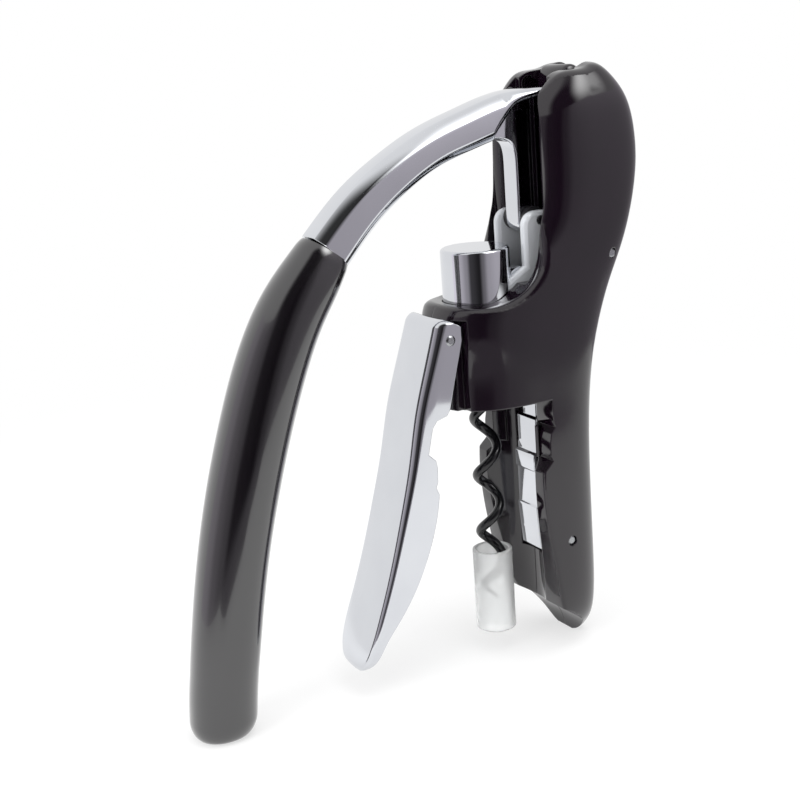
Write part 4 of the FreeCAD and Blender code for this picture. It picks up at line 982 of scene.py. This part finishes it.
    def grip(self) -> Patch:
        """The grip: near-round ovals square to the grip's curve, closing at a rounded foot.

        Near the floor the ovals turn level and shrink on a quarter circle.
        """
        centre, full, along = self.line(self.grip_shares, (self.grip_reach, self.grip_drop, 1.0), 200)
        blend = np.clip((centre[:, 1] - self.grip_level) / self.grip_level_span, 0, 1)[:, None]
        along = unit(along * blend + np.array((0.0, -1.0)) * (1 - blend))
        foot = np.clip((centre[:, 1] - FLOOR) / self.grip_foot, 0, 1)
        lip = np.clip(np.arange(len(full)) / 3, 0, 1)
        size = full * (1 - self.grip_foot_share * (1 - np.sqrt(1 - (1 - foot) ** 2)))
        size *= 1 - self.grip_lip_share + self.grip_lip_share * np.sqrt(lip)
        turn = np.linspace(0, 2 * math.pi, 72, endpoint=False)
        power = 2 / self.grip_power
        across = np.sign(np.sin(turn)) * np.abs(np.sin(turn)) ** power * self.grip_half_width
        deep = np.sign(np.cos(turn)) * np.abs(np.cos(turn)) ** power * self.grip_half_depth
        normal = np.column_stack((along[:, 1], -along[:, 0]))
        flat = centre[:, None] + normal[:, None] * (size[:, None] * deep)[..., None]
        rings = np.stack((flat[..., 0], size[:, None] * across, np.maximum(flat[..., 1], FLOOR)), axis=-1)
        return loft(rings)

    def build(self) -> None:
        """Make the lever's pieces and dress what turns in the head."""
        finishes = self.shop.finishes
        self.shop.piece("arm_and_head", [self.arm(), *self.head()], finishes.chrome, "lever", "chrome",
                        ("lever_arm",))
        self.shop.piece("grip", [self.grip()], finishes.gloss_grip, "lever", "grip_plastic",
                        ("lever_grip", "grip_pin"))
        heel = plate(self.from_clevis(self.heel_shares, 40), -self.heel_half, self.heel_half, self.heel_edge)
        self.shop.piece("heel", [heel], finishes.gloss_black, "lever", "body_plastic", ("heel_cap",))
        self.shop.dress(finishes.pin_steel, "heel_pin", "track_pin")
        self.shop.dress(finishes.acetal, "track_roller_near", "track_roller_far", "head_washer_near",
                        "head_washer_far")


@dataclass
class ClampHandle:
    """The pressed chrome handle of U section that clamps the bottle's neck, and its pad."""

    shop: Workshop
    pin: Pair = (-15.7, 21.5)
    reach: float = 34.0
    length: float = 94.0
    half_width: float = 10.0
    wall: float = 1.9
    crown: float = 0.8
    top_corner: float = 3.2
    top_round: float = 2.2
    tip_corner: float = 1.1
    corner_power: float = 0.8
    corner_share: float = 0.8
    front_shares: Rows = (
        (-0.092, 0.062), (-0.147, 0.002), (-0.224, -0.080), (-0.338, -0.208), (-0.432, -0.354),
        (-0.532, -0.484), (-0.662, -0.636), (-0.790, -0.766), (-0.915, -0.882), (-0.968, -0.938),
        (-0.978, -0.968), (-0.958, -0.984))
    rear_shares: Rows = (
        (-0.958, -0.984), (-0.912, -0.968), (-0.800, -0.890), (-0.655, -0.822), (-0.458, -0.722),
        (-0.290, -0.590), (-0.219, -0.500), (-0.200, -0.460))
    step_shares: Rows = (
        (-0.200, -0.460), (-0.226, -0.436), (-0.206, -0.420), (-0.200, -0.376), (-0.212, -0.352),
        (-0.276, -0.330), (-0.222, -0.252), (-0.176, -0.232), (-0.080, -0.223), (-0.047, -0.207),
        (0.029, -0.105), (0.112, 0.000), (0.118, 0.022), (0.112, 0.036), (0.092, 0.040))
    tip_round: float = 16.0
    tip_power: float = 2.6
    lean_from: float = 12.0
    solid_tip: float = 9.0
    solid_fade: float = 6.0
    least_wall: float = 0.3
    least_depth: float = 0.1
    step_blend: float = 0.25

    def places(self, shares: Rows) -> Array:
        """Reach and height in millimetres, from shares of the handle's size."""
        return np.array(shares) * (self.reach, self.length) + self.pin

    def shell(self) -> Patch:
        """The pressed shell: a closed U-shaped ring of outer and inner walls, carried down the handle.

        Each row's ring runs up the near flange, round a corner, over the crowned front and back down
        the far flange, and then returns inside, a wall's thickness away. Towards the tip the half
        width w falls as (w / W) ** p + (1 - t / T) ** p = 1, where t is the height over the tip, and
        the front rolls back at the top on a quarter circle.
        """
        front = curve_through(self.places(self.front_shares), 500)
        low_rear = curve_through(self.places(self.rear_shares), 300)
        rear = np.vstack((low_rear, self.places(self.step_shares)[1:]))
        top, tip = front[0, 1], front[-1, 1] + 0.05
        share = np.linspace(0, 1, 220)
        height = top + (tip - top) * share
        foot = tip + quarter(self.tip_round, 60)[1]
        roll = top - quarter(self.top_round, 12)[1]
        steps = self.places(self.step_shares)[:, 1]
        height = np.concatenate((height, foot, roll, steps, steps + self.step_blend, steps - self.step_blend))
        height = np.unique(np.round(height, 3))[::-1]
        height = height[(height <= top) & (height >= tip)]
        drop = (top - rear[-1, 1]) * np.clip((height - self.lean_from) / (top - self.lean_from), 0, 1) ** 2
        rear_height = height - drop
        x_front = np.interp(-height, -front[:, 1], front[:, 0])
        short = np.clip(1 - (top - height) / self.top_round, 0, 1)
        x_front = x_front + self.top_round * (1 - np.sqrt(1 - short ** 2))
        x_rear = np.interp(rear_height, rear[:, 1], rear[:, 0])
        rise = np.clip((height - tip + 0.02) / self.tip_round, 0, 1)
        width = self.half_width * (1 - (1 - rise) ** self.tip_power) ** (1 / self.tip_power)
        down = np.clip((top - height) / (top - tip), 0, 1)
        corner = self.top_corner + (self.tip_corner - self.top_corner) * down ** self.corner_power
        deep = np.maximum(x_rear - x_front, self.least_depth)
        corner = np.minimum(corner, np.minimum(width, deep) * self.corner_share)
        outer = self.section(x_front, x_rear, width, corner, self.crown * width / self.half_width)
        hollow = np.clip((height - tip - self.solid_tip) / self.solid_fade, 0, 1)
        inner_front = x_rear + (x_front + self.wall - x_rear) * hollow
        inner_front = np.maximum(inner_front, x_front + 2 * self.least_wall)
        inner_front = np.minimum(inner_front, np.maximum(x_rear - 0.02, x_front + self.least_wall))
        inner = self.section(inner_front, x_rear, np.maximum(width - self.wall, width * 0.3),
                             np.maximum(corner - self.wall, 0.2), np.zeros_like(width))
        tall = np.concatenate((self.lean(outer, height, drop, x_front, x_rear),
                               self.lean(inner[:, ::-1], height, drop, x_front, x_rear)), axis=1)
        return loft(tall)

    def section(self, x_front: Array, x_rear: Array, width: Array, corner: Array,
                crown: Array) -> Array:
        """Open U of one wall for every row, as X and Y.

        Args:
            x_front: Front of each row.
            x_rear: Rear edge of each row.
            width: Half width of each row.
            corner: Radius of the two corners.
            crown: How far the front bulges at its middle.

        Returns:
            Array of rows by points by two.
        """
        turns = np.linspace(0, math.pi / 2, 9)
        flange = np.linspace(0, 1, 4)[:-1]
        x_bend = x_front + corner
        side_x = x_rear[:, None] + (x_bend - x_rear)[:, None] * flange
        side_y = np.broadcast_to(-width[:, None], side_x.shape)
        bend_x = x_bend[:, None] - corner[:, None] * np.sin(turns)
        bend_y = -(width - corner)[:, None] - corner[:, None] * np.cos(turns)
        lanes = np.linspace(-1, 0, 9)[1:]
        over_y = (width - corner)[:, None] * lanes
        over_x = x_front[:, None] + 0 * over_y
        x = np.concatenate((side_x, bend_x, over_x), axis=1)
        y = np.concatenate((side_y, bend_y, over_y), axis=1)
        bulge = crown[:, None] * (1 - (y / (width[:, None] + 1e-9)) ** 2) * np.clip(
            1 - (x - x_front[:, None]) / (corner[:, None] + 1e-9), 0, 1)
        x = x - bulge
        both_x, both_y = np.concatenate((x, x[:, -2::-1]), axis=1), np.concatenate((y, -y[:, -2::-1]), axis=1)
        return np.stack((both_x, both_y), axis=-1)

    def lean(self, flat: Array, height: Array, drop: Array, x_front: Array,
             x_rear: Array) -> Array:
        """Give a section its heights, which fall by drop from the front to the rear of a row."""
        deep = np.maximum(x_rear - x_front, self.least_depth)[:, None]
        z = height[:, None] - drop[:, None] * np.clip((flat[..., 0] - x_front[:, None]) / deep, 0, 1)
        return np.stack((flat[..., 0], flat[..., 1], z), axis=-1)

    def build(self) -> None:
        """Make the handle and dress its pad."""
        finishes = self.shop.finishes
        self.shop.piece("clamp_shell", [self.shell()], finishes.chrome, "clamp", "chrome", ("clamp_handle",),
                        30.0)
        self.shop.dress(finishes.rubber, "clamp_pad")


@dataclass
class Latch:
    """The stepped chrome bar in the back of the leg, hinged on the lower pin."""

    shop: Workshop
    pin: Pair = (16.9, -43.0)
    length: float = 46.0
    depth: float = 3.7
    half_width: float = 5.0
    edge: float = 0.3
    corner: float = 0.35
    lug_radius: float = 2.9
    spring_wire: float = 0.3
    spring_turns: int = 3
    spring_seat: tuple[float, float, float] = (22.0, 0.0, -20.0)
    spring_keep: float = 0.57
    front_shares: Rows = (
        (-0.680, -0.130), (-0.970, 0.148), (-0.970, 0.163), (-0.840, 0.170), (-0.840, 0.404),
        (-1.000, 0.412), (-1.000, 0.520), (-0.680, 0.530), (-0.680, 0.752), (-0.350, 0.762),
        (-0.350, 1.000), (0.030, 1.000), (0.030, -0.130))

    def coil(self) -> Patch:
        """The spring: circles square to a helix about X, from the bar's back to the back of its slot."""
        low, high = (np.array(corner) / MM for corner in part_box("latch_spring"))
        centre, length = (low + high) / 2, high[0] - low[0] - 2 * self.spring_wire
        share = np.linspace(0, 1, 28 * self.spring_turns)
        turn = 2 * math.pi * self.spring_turns * share
        radius = (high[2] - low[2]) / 2 - self.spring_wire
        rise = length / (2 * math.pi * self.spring_turns)
        out, along = (np.roll(rows, 1, axis=1) for rows in helix(turn, radius, rise))
        middle = np.array((0.0, centre[1], centre[2])) + radius * out
        middle[:, 0] = low[0] + self.spring_wire + length * share
        return tube(middle, along, out, np.full_like(turn, self.spring_wire), 12)

    def build(self) -> None:
        """Make the bar from its side outline, with a round lug on the pin, and the spring that it presses."""
        finishes = self.shop.finishes
        outline = np.array(self.front_shares) * (self.depth, self.length) + self.pin
        bar = plate(soften(outline, self.corner, 3), -self.half_width, self.half_width, self.edge)
        profile = pin_profile(self.lug_radius, -self.half_width, self.half_width, self.edge)
        self.shop.piece("latch_plate", [bar, lathe(profile, 48, False, self.pin, True)], finishes.chrome,
                        "latch", "chrome", ("latch_bar",), 16.0)
        coil = self.shop.piece("latch_coil", [self.coil()], finishes.pin_steel, "body", "pin_steel",
                               ("latch_spring",))
        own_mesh(coil)


@dataclass
class Studio:
    """Pale floor, soft lamps, a dark card and the camera at the photograph's angle.

    The card's lengths are millimetres; those of the lamps and the floor are metres.
    """

    eye: tuple[float, float, float] = (-211.6, -339.5, 107.8)
    sight: tuple[float, float, float] = (0.46070, 0.84944, -0.25732)
    upright: tuple[float, float, float] = (0.18837, 0.18973, 0.96360)
    lens: float = 64.1
    # Name, place, width and height, and power in watts.
    lamps: tuple[tuple[str, tuple[float, ...], Pair, float], ...] = (
        ("lamp_over", (0.06, -0.14, 0.62), (0.42, 0.30), 1.5),
        ("lamp_left", (-0.62, -0.16, 0.26), (0.35, 0.55), 2.6))
    floor_side: float = 4.0
    # Distances over which the floor turns white, and the share of white light at both.
    lift_reach: Pair = (0.12, 0.40)
    lift_share: Pair = (0.62, 1.0)
    card_distance: float = 300.0
    card_height: float = 270.0
    card_foot: float = 190.0
    card_foot_tone: float = 0.34
    card_dark: float = 0.3
    card_rise: float = 0.9
    # Where the rise starts and the angle over which it comes in, then angles from the camera with the light.
    card_right: Pair = (24.0, 30.0)
    card_tones: Rows = (
        (-80.0, 1.0), (-66.0, 0.95), (-50.0, 0.58), (-30.0, 0.36), (-16.0, 0.06), (12.0, 0.02), (24.0, 0.18),
        (42.0, 0.42), (75.0, 0.50), (120.0, 0.45), (150.0, 0.45))
    # Direction of the middle, range of cosines from it, and light over that range.
    wall: Rows = ((-0.75, 0.45, 0.48), (-0.75, 0.55), (0.75, 1.0))
    gap: Rows = ((-0.296, -0.814, 0.500), (0.80, 0.94), (1.0, 0.04))
    patch: Rows = ((0.380, -0.634, 0.674), (0.88, 1.0), (0.0, 1.0))
    patch_power: float = 2.5
    patch_light: float = 6.0
    plain_light: float = 1.05

    def camera(self) -> None:
        """Put the camera where the photograph was taken from."""
        sight = Vector(self.sight).normalized()
        right = sight.cross(Vector(self.upright)).normalized()
        data = bpy.data.cameras.new("camera")
        data.lens, data.sensor_width = self.lens, 36.0
        data.clip_start, data.clip_end = 0.01, 20.0
        camera = bpy.data.objects.new("camera", data)
        turn = Matrix((right, right.cross(sight), -sight)).transposed().to_4x4()
        camera.matrix_world = Matrix.Translation(Vector(self.eye) * MM) @ turn
        bpy.context.scene.collection.objects.link(camera)
        bpy.context.scene.camera = camera

    def lamp(self, name: str, place: tuple[float, ...], size: Pair, power: float) -> None:
        """Hang one soft lamp that faces the object.

        Args:
            name: Name of the lamp.
            place: Its place in metres.
            size: Its width and height in metres.
            power: Its power in watts.
        """
        data = bpy.data.lights.new(name, "AREA")
        data.shape, data.size, data.size_y, data.energy = "RECTANGLE", size[0], size[1], power
        lamp = bpy.data.objects.new(name, data)
        lamp.location = place
        lamp.rotation_euler = (Vector((0.0, 0.0, 0.01)) - Vector(place)).to_track_quat("-Z", "Y").to_euler()
        lamp.visible_camera = lamp.visible_glossy = False
        bpy.context.scene.collection.objects.link(lamp)

    def stage(self, mesh: bpy.types.Mesh, material: bpy.types.Material) -> bpy.types.Object:
        """Give a mesh of the stage its material and its object.

        Args:
            mesh: The mesh, whose name the object takes.
            material: Its material.

        Returns:
            The object, which isn't part of the corkscrew.
        """
        mesh.materials.append(material)
        made = bpy.data.objects.new(mesh.name, mesh)
        bpy.context.scene.collection.objects.link(made)
        return made

    def ground(self) -> None:
        """Lay the pale floor: for the camera and for reflections it is lifted towards white.

        The lift is a share of plain white light that grows with the distance from the object, so the
        soft shadow stays near it and the floor has no far edge.
        """
        side = self.floor_side
        corners = [(x * side, y * side, FLOOR * MM) for x, y in ((-1, -1), (1, -1), (1, 1), (-1, 1))]
        mesh = bpy.data.meshes.new("floor")
        mesh.from_pydata(corners, [], [(0, 1, 2, 3)])
        material, tree = blank("paper_white_matt")
        path = add(tree, "ShaderNodeLightPath").outputs
        seen = reckon(tree, "MAXIMUM", reckon(tree, "MAXIMUM", path["Is Camera Ray"], path["Is Glossy Ray"]),
                      path["Is Transmission Ray"])
        place = add(tree, "ShaderNodeTexCoord").outputs["Object"]
        flat = add(tree, "ShaderNodeVectorMath", {"operation": "MULTIPLY", 1: (1.0, 1.0, 0.0)}, {0: place})
        away = add(tree, "ShaderNodeVectorMath", {"operation": "LENGTH"}, {0: flat.outputs["Vector"]})
        lift = remap(tree, away.outputs["Value"], self.lift_reach, self.lift_share, "SMOOTHSTEP")
        share = reckon(tree, "MULTIPLY", seen, lift)
        paper = add(tree, "ShaderNodeBsdfDiffuse", {"Color": linear("#f4f4f4")})
        light = add(tree, "ShaderNodeEmission", {"Color": (1, 1, 1, 1), "Strength": 1.0})
        both = add(tree, "ShaderNodeMixShader", None, {0: share, 1: paper.outputs[0], 2: light.outputs[0]})
        add(tree, "ShaderNodeOutputMaterial", None, {"Surface": both.outputs[0]})
        self.stage(mesh, material)

    def card(self) -> None:
        """Stand a curved dark card in front, seen only in reflections, for the dark lines in the gloss.

        The card is part of an upright cylinder round the object. Its light is a smooth curve over the
        angle from the camera: black round the camera itself, white on the left, dim grey on the right.
        Where it is darkest its foot runs in over the floor. On the right the light grows with the
        square of the height, as it does under a lamp that hangs high.
        """
        ahead = math.atan2(self.eye[1], self.eye[0])
        angles, lights = np.array(self.card_tones).T
        turn = np.linspace(angles[0], angles[-1], 160)
        share = np.interp(turn, angles, np.arange(len(angles)))
        low = np.floor(share).astype(int).clip(0, len(angles) - 2)
        blend = share - low
        blend = blend * blend * (3 - 2 * blend)
        tone = lights[low] * (1 - blend) + lights[low + 1] * blend
        out = np.column_stack((np.cos(ahead + np.radians(turn)), np.sin(ahead + np.radians(turn))))
        run_in = (self.card_distance - self.card_foot) * np.clip(1 - tone / self.card_dark, 0, 1) ** 0.5
        up = np.concatenate(([0.0], np.linspace(0, 1, 12)))[:, None]
        reach = np.where(np.arange(len(up))[:, None] == 0, self.card_distance - run_in, self.card_distance)
        level = np.broadcast_to(FLOOR + 1 + up * self.card_height, reach.shape)
        rows = np.stack((out[:, 0] * reach, out[:, 1] * reach, level), axis=-1) * MM
        right = np.clip((turn - self.card_right[0]) / self.card_right[1], 0, 1)
        tones = tone * (1 + self.card_rise * right * up ** 2)
        tones[:2] = np.maximum(tones[:2], self.card_foot_tone)
        mesh = bpy.data.meshes.new("card")
        mesh.from_pydata(rows.reshape(-1, 3).tolist(), [], weave(len(up), len(turn), False).tolist())
        shares = mesh.attributes.new("tone", "FLOAT", "POINT")
        shares.data.foreach_set("value", tones.ravel().astype(np.float32))
        material, tree = blank("card_dark_matt")
        tone_of = add(tree, "ShaderNodeAttribute", {"attribute_name": "tone"})
        light = add(tree, "ShaderNodeEmission", {"Color": linear("#f6f0f9")},
                    {"Strength": tone_of.outputs["Fac"]})
        add(tree, "ShaderNodeOutputMaterial", None, {"Surface": light.outputs[0]})
        card = self.stage(mesh, material)
        card.visible_camera = card.visible_diffuse = card.visible_shadow = card.visible_transmission = False

    def sky(self) -> None:
        """Light all round: white to the eye, soft walls in reflections, and plain light on the object.

        In reflections the walls go from grey on the right to white on the left and behind, and a soft
        bright patch hangs high in front on the right, growing towards its middle with a power of 2.5.
        Over the dark part of the card the wall is dark too, and fades back within a few degrees.
        """
        world = bpy.data.worlds.new("tent")
        world.use_nodes = True
        tree = world.node_tree
        tree.nodes.clear()
        path = add(tree, "ShaderNodeLightPath").outputs
        way = add(tree, "ShaderNodeTexCoord").outputs["Generated"]
        wall, gap, patch = (
            remap(tree, add(tree, "ShaderNodeVectorMath", {"operation": "DOT_PRODUCT", 1: middle},
                            {0: way}).outputs["Value"], cosines, lights, kind)
            for (middle, cosines, lights), kind in (
                (self.wall, "SMOOTHSTEP"), (self.gap, "SMOOTHSTEP"), (self.patch, "LINEAR")))
        walls = reckon(tree, "MULTIPLY_ADD", reckon(tree, "POWER", patch, self.patch_power), self.patch_light,
                       reckon(tree, "MULTIPLY", wall, gap))
        glossy = reckon(tree, "MULTIPLY", path["Is Glossy Ray"], walls)
        clear = reckon(tree, "MAXIMUM", path["Is Camera Ray"], path["Is Transmission Ray"])
        plain = reckon(tree, "MULTIPLY", path["Is Diffuse Ray"], self.plain_light)
        strength = reckon(tree, "MAXIMUM", reckon(tree, "MAXIMUM", glossy, clear), plain)
        back = add(tree, "ShaderNodeBackground", {"Color": (1, 1, 1, 1)}, {"Strength": strength})
        add(tree, "ShaderNodeOutputWorld", None, {"Surface": back.outputs[0]})
        bpy.context.scene.world = world

    def build(self) -> None:
        """Set the whole stage and the plain view transform."""
        self.camera()
        self.ground()
        self.card()
        self.sky()
        for lamp in self.lamps:
            self.lamp(*lamp)
        bpy.context.scene.view_settings.view_transform = "Standard"


def main() -> None:
    """Build the stage and every sub-assembly."""
    logging.basicConfig(level=logging.INFO, format="%(name)s: %(message)s")
    Studio().build()
    shop = Workshop()
    for assembly in (Body(shop), Crosshead(shop), Worm(shop), Lever(shop), ClampHandle(shop), Latch(shop)):
        assembly.build()
        LOG.info("%s finished", type(assembly).__name__)


if __name__ == "__main__":
    main()
